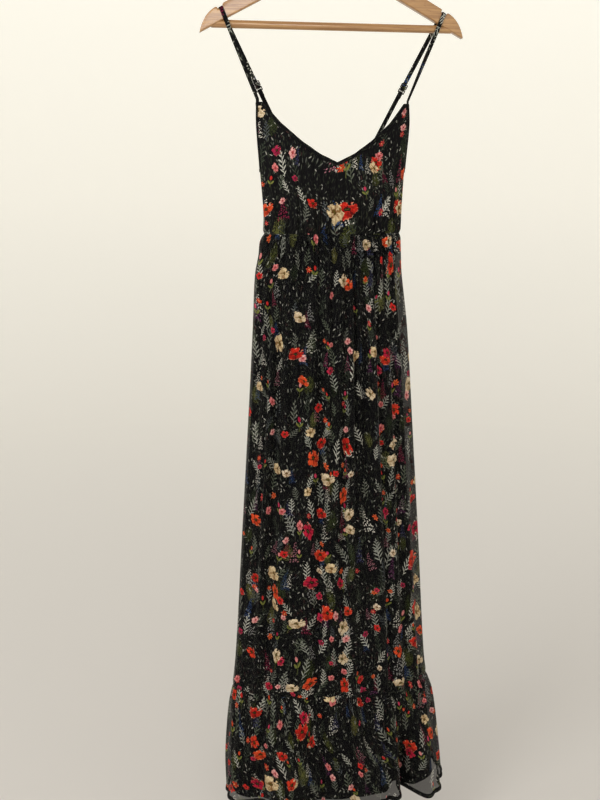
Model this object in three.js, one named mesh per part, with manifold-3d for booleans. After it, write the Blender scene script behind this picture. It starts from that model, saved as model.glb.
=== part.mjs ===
// A sleeveless maxi dress on its wooden hanger.
// Millimetres, +Z up, the front faces -Y. The origin is where the hook bears on its rail.
import * as THREE from 'three';
import { mergeVertices } from 'three/addons/utils/BufferGeometryUtils.js';
import Module from 'manifold-3d';

const wasm = await Module();
wasm.setup();

// Walls and clearances
const SEAM_GAP = 0.3;
const CLOTH_WALL = 1.5;
const LINING_WALL = 1.0;
const TRIM_WALL = 1.0;

// Hanger: heights are measured up from the arm tips
const TIP_Z = -200;
const TIP_X = 222.5;
const TIP_LOW = -6.5;
const ARM_THICKNESS = 15;
const ARM_LOWER_SLOPE = THREE.MathUtils.degToRad(27.5);
const ARM_UPPER_SLOPE = THREE.MathUtils.degToRad(28);
const NOTCH_X = 189.5;
const NOTCH_EDGE_HEIGHT = 37;
const NOTCH_WIDTH = 10;
const NOTCH_DEPTH = 5;
const NOSE_CONTROL = { x: 216, height: 24 };
const CROWN_HALF = 22;
const CROWN_LIFT = 2;
const CROTCH_HALF = 25;
const BAR_RADIUS = 6.5;
const BAR_HEIGHT = 8.5;
const BAR_HALF_LENGTH = 203;
const WIRE_RADIUS = 1.9;
const HOOK_RADIUS = 24;
const HOOK_START = THREE.MathUtils.degToRad(-60);
const HOOK_END = THREE.MathUtils.degToRad(195);
const STEM_DEPTH = 15;

// Dress: drops are measured down from the arm tips
const APEX_DROP = 114;
const UNDERARM_DROP = 222;
const WAIST_DROP = 330;
const RUFFLE_DROP = 1162;
const HEM_DROP = 1380;
const LINING_HEM_DROP = 1376;
const NECK_HALF_WIDTH = 130.5;
const STRAP_END_X = 128.5;
const BACK_STRAP_X = 54;
const BINDING_HEIGHT = 8;
const HEM_ROLL_HEIGHT = 7;

// Straps and their hardware
const STRAP_WIDTH = 8;
const STRAP_THICKNESS = 1.5;
const FLAT_RUN = 26;
const SEWN_END = 4;
const HARDWARE_DROP = 91;
const HARDWARE_BAR = 1.6;
const RING = { width: 12, height: 7.8 };
const SLIDER = { width: 12, height: 9, rise: 9, slot: 2.2 };
const LOOP_RADIUS = 2.1;
const FOLDED_END = 13;

// Ring sections of the dress: half widths to each side, depths to the front and the back
const DRESS_SECTIONS = [
  { drop: 114, left: 130, right: 131, front: 20, back: 16 },
  { drop: 150, left: 130, right: 132, front: 31, back: 26 },
  { drop: 225, left: 124.5, right: 126, front: 42, back: 36 },
  { drop: 300, left: 119, right: 122, front: 42, back: 38 },
  { drop: 330, left: 121, right: 121, front: 40, back: 37 },
  { drop: 400, left: 134, right: 125, front: 50, back: 45 },
  { drop: 500, left: 139, right: 137, front: 57, back: 51 },
  { drop: 700, left: 151, right: 152, front: 66, back: 60 },
  { drop: 900, left: 164, right: 167, front: 72, back: 66 },
  { drop: 1100, left: 177, right: 181, front: 78, back: 72 },
  { drop: 1162, left: 184, right: 189, front: 80, back: 74 },
  { drop: 1200, left: 191, right: 202, front: 87, back: 80 },
  { drop: 1300, left: 199, right: 217, front: 93, back: 86 },
  { drop: 1380, left: 198, right: 226, front: 96, back: 89 },
];
const LINING_SECTIONS = [
  { drop: 330, left: 118.4, right: 118.4, front: 37.4, back: 34.4 },
  { drop: 345, left: 120.4, right: 117.4, front: 38, back: 35 },
  { drop: 400, left: 130, right: 112, front: 39, back: 35 },
  { drop: 500, left: 135.5, right: 122, front: 43, back: 38 },
  { drop: 700, left: 147.5, right: 137, front: 48, back: 43 },
  { drop: 900, left: 160.5, right: 152, front: 53, back: 48 },
  { drop: 1100, left: 173.5, right: 168, front: 58, back: 52 },
  { drop: 1200, left: 185, right: 188, front: 64, back: 55 },
  { drop: 1376, left: 190, right: 207, front: 72, back: 62 },
];

// Neck edge from the middle outwards, and the top edge of the back
const NECK_EDGE = [
  { x: 0, drop: 212 },
  { x: 30, drop: 198 },
  { x: 60, drop: 177 },
  { x: 92, drop: 148 },
  { x: 121, drop: APEX_DROP },
  { x: 131, drop: APEX_DROP },
];
const BACK_EDGE = [
  { x: 0, drop: 246 },
  { x: BACK_STRAP_X, drop: 235 },
  { x: 90, drop: 236 },
  { x: 126, drop: UNDERARM_DROP },
];

// Folds run down the cloth: degrees round from the front middle, half breadth, height out of the ring
const SKIRT_FOLD_SPAN = { from: 345, full: 640, fade: 1150, end: 1320 };
const SKIRT_FOLDS = [
  { at: -64, reach: 10, height: -4 },
  { at: -46, reach: 9, height: -10 },
  { at: -28, reach: 8, height: -6 },
  { at: -12, reach: 8, height: -9 },
  { at: 3, reach: 8, height: -8 },
  { at: 18, reach: 8, height: -10 },
  { at: 36, reach: 9, height: -8 },
  { at: 51, reach: 9, height: -9 },
  { at: 68, reach: 10, height: -6 },
  { at: 117, reach: 11, height: -8 },
  { at: 138, reach: 10, height: -10 },
  { at: 158, reach: 9, height: -7 },
  { at: 176, reach: 9, height: -11 },
  { at: 194, reach: 9, height: -8 },
  { at: 215, reach: 11, height: -10 },
  { at: 241, reach: 12, height: -4 },
];
const RUFFLE_FOLD_SPAN = { from: 1166, full: 1390, fade: 1400, end: 1500 };
const RUFFLE_FOLDS = [
  { at: -70, reach: 14, height: 10 },
  { at: -48, reach: 10, height: -18 },
  { at: -27, reach: 12, height: 12 },
  { at: -7, reach: 10, height: -16 },
  { at: 14, reach: 11, height: 10 },
  { at: 39, reach: 8, height: -42 },
  { at: 50, reach: 11, height: 24 },
  { at: 112, reach: 13, height: 12 },
  { at: 132, reach: 10, height: -18 },
  { at: 153, reach: 12, height: 11 },
  { at: 174, reach: 11, height: -20 },
  { at: 196, reach: 12, height: 12 },
  { at: 217, reach: 10, height: -17 },
  { at: 240, reach: 14, height: 12 },
];
const LINING_FOLDS = [
  { at: -48, reach: 12, height: -9 },
  { at: -7, reach: 12, height: -6 },
  { at: 39, reach: 12, height: -28 },
  { at: 132, reach: 12, height: -8 },
  { at: 174, reach: 13, height: -10 },
  { at: 217, reach: 12, height: -8 },
];

// Facets of the cloth
const BODICE_GRID = { columns: 28, rows: 6 };
const SKIRT_GRID = { columns: 36, rows: 10 };
const RUFFLE_GRID = { columns: 44, rows: 5 };
const LINING_GRID = { columns: 24, rows: 8 };
const ARMHOLE_GRID = { columns: 2, rows: 3 };

// Colours and surfaces
const PRINTED_CHIFFON = { color: 0x17151a, roughness: 0.85, metalness: 0 };
const BLACK_LINING = { color: 0x0b0b0d, roughness: 0.9, metalness: 0 };
const BLACK_BINDING = { color: 0x101014, roughness: 0.85, metalness: 0 };
const BLACK_METAL = { color: 0x141416, roughness: 0.35, metalness: 0.6 };
const LACQUERED_WOOD = { color: 0xb9814f, roughness: 0.35, metalness: 0 };
const HOOK_STEEL = { color: 0xc9ccd0, roughness: 0.2, metalness: 1 };

const FRONT = { from: -Math.PI / 2, to: Math.PI / 2, depth: 'front' };
const BACK = { from: Math.PI / 2, to: 1.5 * Math.PI, depth: 'back' };
const SIDES = [{ name: 'left', sign: -1 }, { name: 'right', sign: 1 }];

const dress = new THREE.Group();

/** Adds a named piece with its own finish. */
function addPiece(name, geometry, finish) {
  const mesh = new THREE.Mesh(geometry, new THREE.MeshStandardMaterial(finish));
  mesh.name = name;
  dress.add(mesh);
}

/** A closed solid for cutting, from a geometry. */
function solidOf(geometry) {
  const bare = geometry.clone();
  bare.deleteAttribute('normal');
  bare.deleteAttribute('uv');
  const merged = mergeVertices(bare, 1e-4);
  return new wasm.Manifold(new wasm.Mesh({
    numProp: 3,
    vertProperties: new Float32Array(merged.attributes.position.array),
    triVerts: new Uint32Array(merged.index.array),
  }));
}

/** What is left of a geometry when others are cut away. */
function cutAway(geometry, ...tools) {
  const solid = tools.reduce((rest, tool) => rest.subtract(solidOf(tool)), solidOf(geometry));
  const mesh = solid.getMesh();
  const result = new THREE.BufferGeometry();
  result.setAttribute('position', new THREE.BufferAttribute(mesh.vertProperties, 3));
  result.setIndex(new THREE.BufferAttribute(mesh.triVerts, 1));
  return result;
}

/** Value of a column at a place along a table, on a smooth curve through its rows. */
function columnAt(rows, key, column, place) {
  const last = rows.length - 1;
  const spot = THREE.MathUtils.clamp(place, rows[0][key], rows[last][key]);
  const next = Math.max(1, rows.findIndex((row) => row[key] >= spot));
  const slope = (row) => {
    const before = rows[Math.max(0, row - 1)];
    const after = rows[Math.min(last, row + 1)];
    return (after[column] - before[column]) / (after[key] - before[key]);
  };
  const low = rows[next - 1];
  const high = rows[next];
  const span = high[key] - low[key];
  const t = (spot - low[key]) / span;
  const startPull = slope(next - 1) * span * t * (1 - t) * (1 - t);
  const endPull = slope(next) * span * t * t * (t - 1);
  return THREE.MathUtils.lerp(low[column], high[column], t * t * (3 - 2 * t)) + startPull + endPull;
}

/** Value of a column at a place along a table, on straight lines through its rows. */
function edgeDrop(rows, x) {
  const next = Math.max(1, rows.findIndex((row) => row.x >= Math.min(x, rows[rows.length - 1].x)));
  return THREE.MathUtils.mapLinear(x, rows[next - 1].x, rows[next].x, rows[next - 1].drop, rows[next].drop);
}

/** Height of all the folds of a table at an angle and a drop. */
function foldHeight(folds, span, angle, drop) {
  const grown = THREE.MathUtils.smoothstep(drop, span.from, span.full);
  const left = 1 - THREE.MathUtils.smoothstep(drop, span.fade, span.end);
  const degrees = THREE.MathUtils.radToDeg(angle);
  const shape = (fold) => {
    const away = Math.min(1, Math.abs(degrees - fold.at) / fold.reach);
    return fold.height * (1 + Math.cos(Math.PI * away)) / 2;
  };
  return grown * left * folds.reduce((sum, fold) => sum + shape(fold), 0);
}

/** Point of a ring, and its level outward direction, at an angle round from the front middle. */
function ringPoint(sections, angle, drop) {
  const width = columnAt(sections, 'drop', Math.sin(angle) < 0 ? 'left' : 'right', drop);
  const depth = columnAt(sections, 'drop', Math.cos(angle) > 0 ? 'front' : 'back', drop);
  const point = new THREE.Vector3(width * Math.sin(angle), -depth * Math.cos(angle), TIP_Z - drop);
  const outward = new THREE.Vector3(Math.sin(angle) / width, -Math.cos(angle) / depth, 0).normalize();
  return { point, outward };
}

/** Outside of the dress. */
function dressPoint(angle, drop) {
  const { point, outward } = ringPoint(DRESS_SECTIONS, angle, drop);
  const skirt = foldHeight(SKIRT_FOLDS, SKIRT_FOLD_SPAN, angle, drop);
  const ruffle = foldHeight(RUFFLE_FOLDS, RUFFLE_FOLD_SPAN, angle, drop);
  return point.addScaledVector(outward, skirt + ruffle);
}

/** Outside of the skirt's lining. */
function liningPoint(angle, drop) {
  const { point, outward } = ringPoint(LINING_SECTIONS, angle, drop);
  return point.addScaledVector(outward, foldHeight(LINING_FOLDS, RUFFLE_FOLD_SPAN, angle, drop));
}

/** Level direction out of a cloth surface. */
function levelNormal(surface, angle, drop) {
  const step = 0.002;
  const along = surface(angle + step, drop).sub(surface(angle - step, drop));
  return new THREE.Vector3(along.y, -along.x, 0).normalize();
}

/** A closed wall between two offsets of a surface, over a grid whose nodes are placed by fractions. */
function clothWall(surface, grid, place, inner, outer) {
  const positions = [];
  const indices = [];
  const across = grid.columns + 1;
  for (const offset of [outer, inner]) {
    for (let row = 0; row <= grid.rows; row += 1) {
      for (let column = 0; column <= grid.columns; column += 1) {
        const { angle, drop } = place(column / grid.columns, row / grid.rows);
        const normal = levelNormal(surface, angle, drop);
        positions.push(...surface(angle, drop).addScaledVector(normal, offset).toArray());
      }
    }
  }
  const layer = across * (grid.rows + 1);
  const node = (side, row, column) => side * layer + row * across + column;
  const quad = (a, b, c, d) => indices.push(a, b, c, a, c, d);
  for (let row = 0; row < grid.rows; row += 1) {
    for (let column = 0; column < grid.columns; column += 1) {
      const low = row + 1;
      const next = column + 1;
      quad(node(0, row, column), node(0, low, column), node(0, low, next), node(0, row, next));
      quad(node(1, row, column), node(1, row, next), node(1, low, next), node(1, low, column));
    }
  }
  for (let column = 0; column < grid.columns; column += 1) {
    quad(node(0, 0, column), node(0, 0, column + 1), node(1, 0, column + 1), node(1, 0, column));
    const low = grid.rows;
    quad(node(0, low, column), node(1, low, column), node(1, low, column + 1), node(0, low, column + 1));
  }
  for (let row = 0; row < grid.rows; row += 1) {
    quad(node(0, row, 0), node(1, row, 0), node(1, row + 1, 0), node(0, row + 1, 0));
    const end = grid.columns;
    quad(node(0, row, end), node(0, row + 1, end), node(1, row + 1, end), node(1, row, end));
  }
  const geometry = new THREE.BufferGeometry();
  geometry.setAttribute('position', new THREE.Float32BufferAttribute(positions, 3));
  geometry.setIndex(indices);
  return geometry;
}

/** Places a grid over half the ring, clear of the side seams, between a top and a bottom edge. */
function halfRing(half, sections, topAt, bottomAt) {
  return (u, v) => {
    const middle = THREE.MathUtils.lerp(half.from, half.to, u);
    const drop = THREE.MathUtils.lerp(topAt(middle), bottomAt(middle), v);
    const clear = SEAM_GAP / 2 / columnAt(sections, 'drop', half.depth, drop);
    return { angle: THREE.MathUtils.lerp(half.from + clear, half.to - clear, u), drop };
  };
}

const neckEdge = (angle) => edgeDrop(NECK_EDGE, Math.abs(NECK_HALF_WIDTH * Math.sin(angle)));
const backEdge = (angle) => edgeDrop(BACK_EDGE, Math.abs(NECK_HALF_WIDTH * Math.sin(angle)));
const level = (drop) => () => drop;

/** Wooden arms, bar and wire hook. */
function addHanger() {
  const upperAt = (x) => NOTCH_EDGE_HEIGHT + (NOTCH_X - x) * Math.tan(ARM_UPPER_SLOPE);
  const lowerAt = (x) => TIP_LOW + (TIP_X - x) * Math.tan(ARM_LOWER_SLOPE);
  const notchCorner = (along, down) => ({
    x: NOTCH_X + along * Math.cos(ARM_UPPER_SLOPE) - down * Math.sin(ARM_UPPER_SLOPE),
    height: NOTCH_EDGE_HEIGHT - along * Math.sin(ARM_UPPER_SLOPE) - down * Math.cos(ARM_UPPER_SLOPE),
  });
  const notch = [
    notchCorner(-NOTCH_WIDTH / 2, 0),
    notchCorner(-NOTCH_WIDTH / 2, NOTCH_DEPTH),
    notchCorner(NOTCH_WIDTH / 2, NOTCH_DEPTH),
    notchCorner(NOTCH_WIDTH / 2, 0),
  ];
  const outline = new THREE.Shape();
  outline.moveTo(-CROWN_HALF, upperAt(CROWN_HALF));
  outline.quadraticCurveTo(0, upperAt(0) + CROWN_LIFT, CROWN_HALF, upperAt(CROWN_HALF));
  notch.forEach((corner) => outline.lineTo(corner.x, corner.height));
  outline.quadraticCurveTo(NOSE_CONTROL.x, NOSE_CONTROL.height, TIP_X, TIP_LOW);
  outline.lineTo(CROTCH_HALF, lowerAt(CROTCH_HALF));
  outline.quadraticCurveTo(0, lowerAt(0), -CROTCH_HALF, lowerAt(CROTCH_HALF));
  outline.lineTo(-TIP_X, TIP_LOW);
  outline.quadraticCurveTo(-NOSE_CONTROL.x, NOSE_CONTROL.height, -notch[3].x, notch[3].height);
  notch.slice(0, 3).reverse().forEach((corner) => outline.lineTo(-corner.x, corner.height));
  const armSettings = { depth: ARM_THICKNESS, bevelEnabled: false, curveSegments: 8 };
  const arms = new THREE.ExtrudeGeometry(outline, armSettings);
  arms.rotateX(Math.PI / 2).translate(0, ARM_THICKNESS / 2, TIP_Z);

  const bar = (radius, halfLength) => new THREE.CylinderGeometry(radius, radius, 2 * halfLength, 20)
    .rotateZ(Math.PI / 2)
    .translate(0, 0, TIP_Z + BAR_HEIGHT);
  const crownTop = TIP_Z + (upperAt(CROWN_HALF) + upperAt(0) + CROWN_LIFT) / 2;
  const boreDepth = STEM_DEPTH + SEAM_GAP;
  const bore = new THREE.CylinderGeometry(WIRE_RADIUS + SEAM_GAP, WIRE_RADIUS + SEAM_GAP, 2 * boreDepth, 16)
    .rotateX(Math.PI / 2)
    .translate(0, 0, crownTop);
  const socket = bar(BAR_RADIUS + SEAM_GAP, BAR_HALF_LENGTH + SEAM_GAP);
  addPiece('hanger_body', cutAway(arms, socket, bore), LACQUERED_WOOD);
  addPiece('hanger_bar', bar(BAR_RADIUS, BAR_HALF_LENGTH), LACQUERED_WOOD);

  const centreZ = WIRE_RADIUS - HOOK_RADIUS;
  const onHook = (turn) => new THREE.Vector3(
    HOOK_RADIUS * Math.cos(turn), 0, centreZ + HOOK_RADIUS * Math.sin(turn));
  const route = [
    new THREE.Vector3(0, 0, crownTop - STEM_DEPTH),
    new THREE.Vector3(0, 0, crownTop),
    new THREE.Vector3(0, 0, crownTop + STEM_DEPTH / 2),
  ];
  const bends = 10;
  for (let bend = 0; bend <= bends; bend += 1) {
    route.push(onHook(THREE.MathUtils.lerp(HOOK_START, HOOK_END, bend / bends)));
  }
  const wire = new THREE.Shape().absarc(0, 0, WIRE_RADIUS, 0, 2 * Math.PI);
  const path = new THREE.CatmullRomCurve3(route);
  const hook = new THREE.ExtrudeGeometry(wire, { steps: 36, extrudePath: path, curveSegments: 5 });
  addPiece('hanger_hook', hook, HOOK_STEEL);
}

/** A flat ribbon through stations, each a point and the direction across the ribbon there. */
function ribbon(stations) {
  const positions = [];
  const indices = [];
  stations.forEach(({ point, across }, index) => {
    const before = stations[Math.max(0, index - 1)].point;
    const after = stations[Math.min(stations.length - 1, index + 1)].point;
    const along = after.clone().sub(before).normalize();
    const side = across.clone().addScaledVector(along, -across.dot(along)).normalize();
    const face = along.clone().cross(side);
    for (const [breadth, thickness] of [[-1, -1], [1, -1], [1, 1], [-1, 1]]) {
      const corner = point.clone()
        .addScaledVector(side, breadth * STRAP_WIDTH / 2)
        .addScaledVector(face, thickness * STRAP_THICKNESS / 2);
      positions.push(...corner.toArray());
    }
  });
  const quad = (a, b, c, d) => indices.push(a, b, c, a, c, d);
  const last = 4 * (stations.length - 1);
  for (let start = 0; start < last; start += 4) {
    for (let corner = 0; corner < 4; corner += 1) {
      const next = (corner + 1) % 4;
      quad(start + corner, start + next, start + 4 + next, start + 4 + corner);
    }
  }
  quad(3, 2, 1, 0);
  quad(last, last + 1, last + 2, last + 3);
  const geometry = new THREE.BufferGeometry();
  geometry.setAttribute('position', new THREE.Float32BufferAttribute(positions, 3));
  geometry.setIndex(indices);
  return geometry;
}

/** The sewn end of a ribbon, just above the top edge of a panel: its end, then its first stretch. */
function sewnEnd(angle, drop, facing) {
  const step = 0.01;
  const across = dressPoint(angle + step, drop).sub(dressPoint(angle - step, drop)).multiplyScalar(facing);
  const normal = levelNormal(dressPoint, angle, drop);
  return [SEAM_GAP, SEAM_GAP + SEWN_END].map((rise) => {
    const point = dressPoint(angle, drop).addScaledVector(normal, -CLOTH_WALL / 2);
    point.z += rise;
    return { point, across };
  });
}

/** A rectangle of rounded corners, as a shape or a hole. */
function roundedRectangle(Kind, width, height, centreY, radius) {
  const x = width / 2;
  const low = centreY - height / 2;
  const high = centreY + height / 2;
  const outline = new Kind();
  outline.moveTo(-x + radius, low);
  outline.lineTo(x - radius, low);
  outline.absarc(x - radius, low + radius, radius, -Math.PI / 2, 0);
  outline.absarc(x - radius, high - radius, radius, 0, Math.PI / 2);
  outline.absarc(-x + radius, high - radius, radius, Math.PI / 2, Math.PI);
  outline.absarc(-x + radius, low + radius, radius, Math.PI, 1.5 * Math.PI);
  return outline;
}

/** A wire loop or slider plate: a rounded plate with slots, flat in the ribbon's plane. */
function hardwarePlate(size, slots, frame) {
  const plate = roundedRectangle(THREE.Shape, size.width, size.height, 0, HARDWARE_BAR);
  for (const slot of slots) {
    plate.holes.push(roundedRectangle(THREE.Path, size.width - 2 * HARDWARE_BAR, slot.height, slot.at, 0.4));
  }
  const settings = { depth: HARDWARE_BAR, bevelEnabled: false, curveSegments: 3 };
  return new THREE.ExtrudeGeometry(plate, settings).translate(0, 0, -HARDWARE_BAR / 2).applyMatrix4(frame);
}

/** One shoulder: strap over the hanger, slider, ring and the short tab to the back. */
function addShoulder({ name, sign }) {
  const armUp = new THREE.Vector3(sign * Math.sin(ARM_UPPER_SLOPE), 0, Math.cos(ARM_UPPER_SLOPE));
  const armAlong = new THREE.Vector3(sign * Math.cos(ARM_UPPER_SLOPE), 0, -Math.sin(ARM_UPPER_SLOPE));
  const seat = new THREE.Vector3(sign * NOTCH_X, 0, TIP_Z + NOTCH_EDGE_HEIGHT)
    .addScaledVector(armUp, -NOTCH_DEPTH);
  const lift = SEAM_GAP + STRAP_THICKNESS / 2;
  const face = ARM_THICKNESS / 2;
  const corner = Math.SQRT1_2 * lift;
  const over = [
    { y: -face - lift, rise: -FLAT_RUN },
    { y: -face - lift, rise: 0 },
    { y: -face - corner, rise: corner },
    { y: -face, rise: lift },
    { y: face, rise: lift },
    { y: face + corner, rise: corner },
    { y: face + lift, rise: 0 },
    { y: face + lift, rise: -FLAT_RUN },
  ].map(({ y, rise }) => ({ point: seat.clone().addScaledVector(armUp, rise).setY(y), across: armAlong }));

  const apexAngle = sign * Math.asin(STRAP_END_X / NECK_HALF_WIDTH);
  const front = sewnEnd(apexAngle, APEX_DROP, sign);
  const backAngle = Math.PI - sign * Math.asin(BACK_STRAP_X / NECK_HALF_WIDTH);
  const back = sewnEnd(backAngle, backEdge(backAngle), -sign);

  const backTop = back[1].point;
  const up = over[over.length - 1].point.clone().sub(backTop);
  const share = (TIP_Z - HARDWARE_DROP - backTop.z) / up.z;
  const centre = backTop.clone().addScaledVector(up, share);
  up.normalize();
  const outward = new THREE.Vector3(0, 1, 0).addScaledVector(up, -up.y).normalize();
  const across = up.clone().cross(outward);
  const frame = (rise) => new THREE.Matrix4()
    .makeBasis(across, up, outward)
    .setPosition(centre.clone().addScaledVector(up, rise));
  const strapAcross = across.clone().multiplyScalar(-sign);
  const beside = (out, rise) => ({
    point: centre.clone().addScaledVector(outward, out).addScaledVector(up, rise),
    across: strapAcross,
  });
  const loopRise = RING.height / 2 - HARDWARE_BAR / 2;
  const loop = [0, 45, 90, 135, 180].map((turn) => {
    const angle = THREE.MathUtils.degToRad(turn);
    return { out: LOOP_RADIUS * Math.cos(angle), rise: loopRise - LOOP_RADIUS * Math.sin(angle) };
  });
  const strapLoop = loop.map(({ out, rise }) => beside(out, rise));
  const tabLoop = loop.map(({ out, rise }) => beside(out, -rise)).reverse();

  const strapTail = [beside(LOOP_RADIUS, 2 * FOLDED_END), ...strapLoop, beside(-LOOP_RADIUS, SLIDER.rise)];
  const tabHead = [beside(-LOOP_RADIUS, -FOLDED_END), ...tabLoop, beside(LOOP_RADIUS, -2 * FOLDED_END)];
  addPiece(`strap_${name}`, ribbon([...front, ...over, ...strapTail]), PRINTED_CHIFFON);
  addPiece(`strap_tab_${name}`, ribbon([...tabHead, ...back.reverse()]), PRINTED_CHIFFON);
  const ringSlots = [{ at: 0, height: RING.height - 2 * HARDWARE_BAR }];
  addPiece(`ring_${name}`, hardwarePlate(RING, ringSlots, frame(0)), BLACK_METAL);
  const slotAt = (SLIDER.slot + HARDWARE_BAR) / 2;
  const sliderSlots = [{ at: slotAt, height: SLIDER.slot }, { at: -slotAt, height: SLIDER.slot }];
  addPiece(`slider_${name}`, hardwarePlate(SLIDER, sliderSlots, frame(SLIDER.rise)), BLACK_METAL);
}

/** A strip that lies on the outside of the dress, made from its points, moved out. */
function bindingOn(grid, place) {
  return clothWall(dressPoint, grid, place, SEAM_GAP, SEAM_GAP + TRIM_WALL);
}

/** Bodice panels with their bound edges. */
function addBodice() {
  const waist = level(WAIST_DROP - SEAM_GAP / 2);
  const edgeGrid = { columns: BODICE_GRID.columns, rows: 1 };
  const halves = [
    { name: 'front', half: FRONT, top: neckEdge, binding: 'neck_binding' },
    { name: 'back', half: BACK, top: backEdge, binding: 'back_binding' },
  ];
  for (const { name, half, top, binding } of halves) {
    const panel = halfRing(half, DRESS_SECTIONS, top, waist);
    addPiece(`bodice_${name}`, clothWall(dressPoint, BODICE_GRID, panel, -CLOTH_WALL, 0), PRINTED_CHIFFON);
    const strip = halfRing(half, DRESS_SECTIONS, top, (angle) => top(angle) + BINDING_HEIGHT);
    addPiece(binding, bindingOn(edgeGrid, strip), BLACK_BINDING);
  }
  const panel = halfRing(FRONT, DRESS_SECTIONS, neckEdge, waist);
  const armholeTop = (BINDING_HEIGHT + SEAM_GAP) / (WAIST_DROP - APEX_DROP);
  const breadth = ARMHOLE_GRID.columns / BODICE_GRID.columns;
  const reach = ARMHOLE_GRID.rows / BODICE_GRID.rows;
  for (const { name, sign } of SIDES) {
    const strip = (u, v) => {
      const share = sign < 0 ? u * breadth : 1 - (1 - u) * breadth;
      return panel(share, Math.max(armholeTop, v * reach));
    };
    addPiece(`armhole_binding_${name}`, bindingOn(ARMHOLE_GRID, strip), BLACK_BINDING);
  }
}

/** Gathered skirt, the lining that shows through it, the ruffle and its rolled hem. */
function addSkirt() {
  const hemGrid = { columns: RUFFLE_GRID.columns, rows: 1 };
  const rollShare = 1 - HEM_ROLL_HEIGHT / (HEM_DROP - RUFFLE_DROP - SEAM_GAP / 2);
  const downToRoll = (v) => Math.min(v * RUFFLE_GRID.rows / (RUFFLE_GRID.rows - 1), 1) * rollShare;
  const skirtTop = level(WAIST_DROP + SEAM_GAP / 2);
  const skirtEnd = level(RUFFLE_DROP - SEAM_GAP / 2);
  for (const [name, half] of [['front', FRONT], ['back', BACK]]) {
    const skirt = halfRing(half, DRESS_SECTIONS, skirtTop, skirtEnd);
    addPiece(`skirt_${name}`, clothWall(dressPoint, SKIRT_GRID, skirt, -CLOTH_WALL, 0), PRINTED_CHIFFON);
    const lining = halfRing(half, LINING_SECTIONS, skirtTop, level(LINING_HEM_DROP));
    addPiece(`lining_${name}`, clothWall(liningPoint, LINING_GRID, lining, -LINING_WALL, 0), BLACK_LINING);
    const tier = halfRing(half, DRESS_SECTIONS, level(RUFFLE_DROP + SEAM_GAP / 2), level(HEM_DROP));
    const ruffle = (u, v) => tier(u, v < 1 ? downToRoll(v) : 1);
    addPiece(`ruffle_${name}`, clothWall(dressPoint, RUFFLE_GRID, ruffle, -CLOTH_WALL, 0), PRINTED_CHIFFON);
    const hem = halfRing(half, DRESS_SECTIONS, level(HEM_DROP - HEM_ROLL_HEIGHT), level(HEM_DROP));
    addPiece(`hem_${name}`, bindingOn(hemGrid, hem), BLACK_BINDING);
  }
}

addHanger();
SIDES.forEach(addShoulder);
addBodice();
addSkirt();

export default dress;
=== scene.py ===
"""A sleeveless maxi dress of sheer printed cloth, hung on its wooden hanger.

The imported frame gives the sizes, and each piece made here lies where its solid does. Tables are in
millimetres and degrees and meshes in metres, with +Z up and the front facing -Y. The origin is where the
hook bears on its rail. A drop is measured down from the tips of the hanger's arms, and an angle round the
dress from the middle of its front towards +X.
"""

import logging
import math
from dataclasses import dataclass
from enum import Enum
from functools import partial
from typing import Callable, Union

import bpy
import numpy as np
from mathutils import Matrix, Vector


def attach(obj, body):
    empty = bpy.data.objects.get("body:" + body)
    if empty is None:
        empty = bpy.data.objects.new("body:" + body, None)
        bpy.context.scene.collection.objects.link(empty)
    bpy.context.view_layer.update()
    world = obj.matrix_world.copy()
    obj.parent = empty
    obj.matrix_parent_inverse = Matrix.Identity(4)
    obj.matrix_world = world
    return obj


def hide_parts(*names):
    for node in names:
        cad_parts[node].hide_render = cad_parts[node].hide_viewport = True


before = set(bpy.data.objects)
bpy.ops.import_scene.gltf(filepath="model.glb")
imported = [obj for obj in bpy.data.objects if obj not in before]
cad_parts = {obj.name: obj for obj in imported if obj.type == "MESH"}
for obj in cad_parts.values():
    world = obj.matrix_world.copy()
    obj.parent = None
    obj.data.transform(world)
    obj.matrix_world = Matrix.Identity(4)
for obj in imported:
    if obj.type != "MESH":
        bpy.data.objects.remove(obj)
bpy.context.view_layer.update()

LOG = logging.getLogger("maxi_dress")
MM = 0.001
TIP_Z = -200.0
BODY = "root"
WAIST = 330.0
BACK_PRINT_START = 1700.0
RUFFLE_PRINT_SHIFT = 600.0
CLOTH_MAP = "cloth"

Feed = Union[bpy.types.Node, bpy.types.NodeSocket, float, tuple, None]
Edge = Callable[[np.ndarray], np.ndarray]


class Half(Enum):
    """The two halves of the dress between its side seams, as angles from and to."""

    FRONT = (-90.0, 90.0)
    BACK = (90.0, 270.0)


class Side(Enum):
    """The two shoulders, as the sign of x."""

    LEFT = -1
    RIGHT = 1


def linear(colour: str) -> tuple[float, float, float, float]:
    """Turns an sRGB hex colour into linear RGBA.

    Args:
        colour: Six hex digits after a hash sign.

    Returns:
        Linear red, green and blue, and full alpha.
    """
    parts = [int(colour[start:start + 2], 16) / 255 for start in (1, 3, 5)]
    bright = [part / 12.92 if part <= 0.04045 else ((part + 0.055) / 1.055) ** 2.4 for part in parts]
    return (*bright, 1.0)


def smoothstep(value: np.ndarray, start: float, end: float) -> np.ndarray:
    """Rises smoothly from 0 at start to 1 at end."""
    share = np.clip((value - start) / (end - start), 0.0, 1.0)
    return share * share * (3.0 - 2.0 * share)


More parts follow.
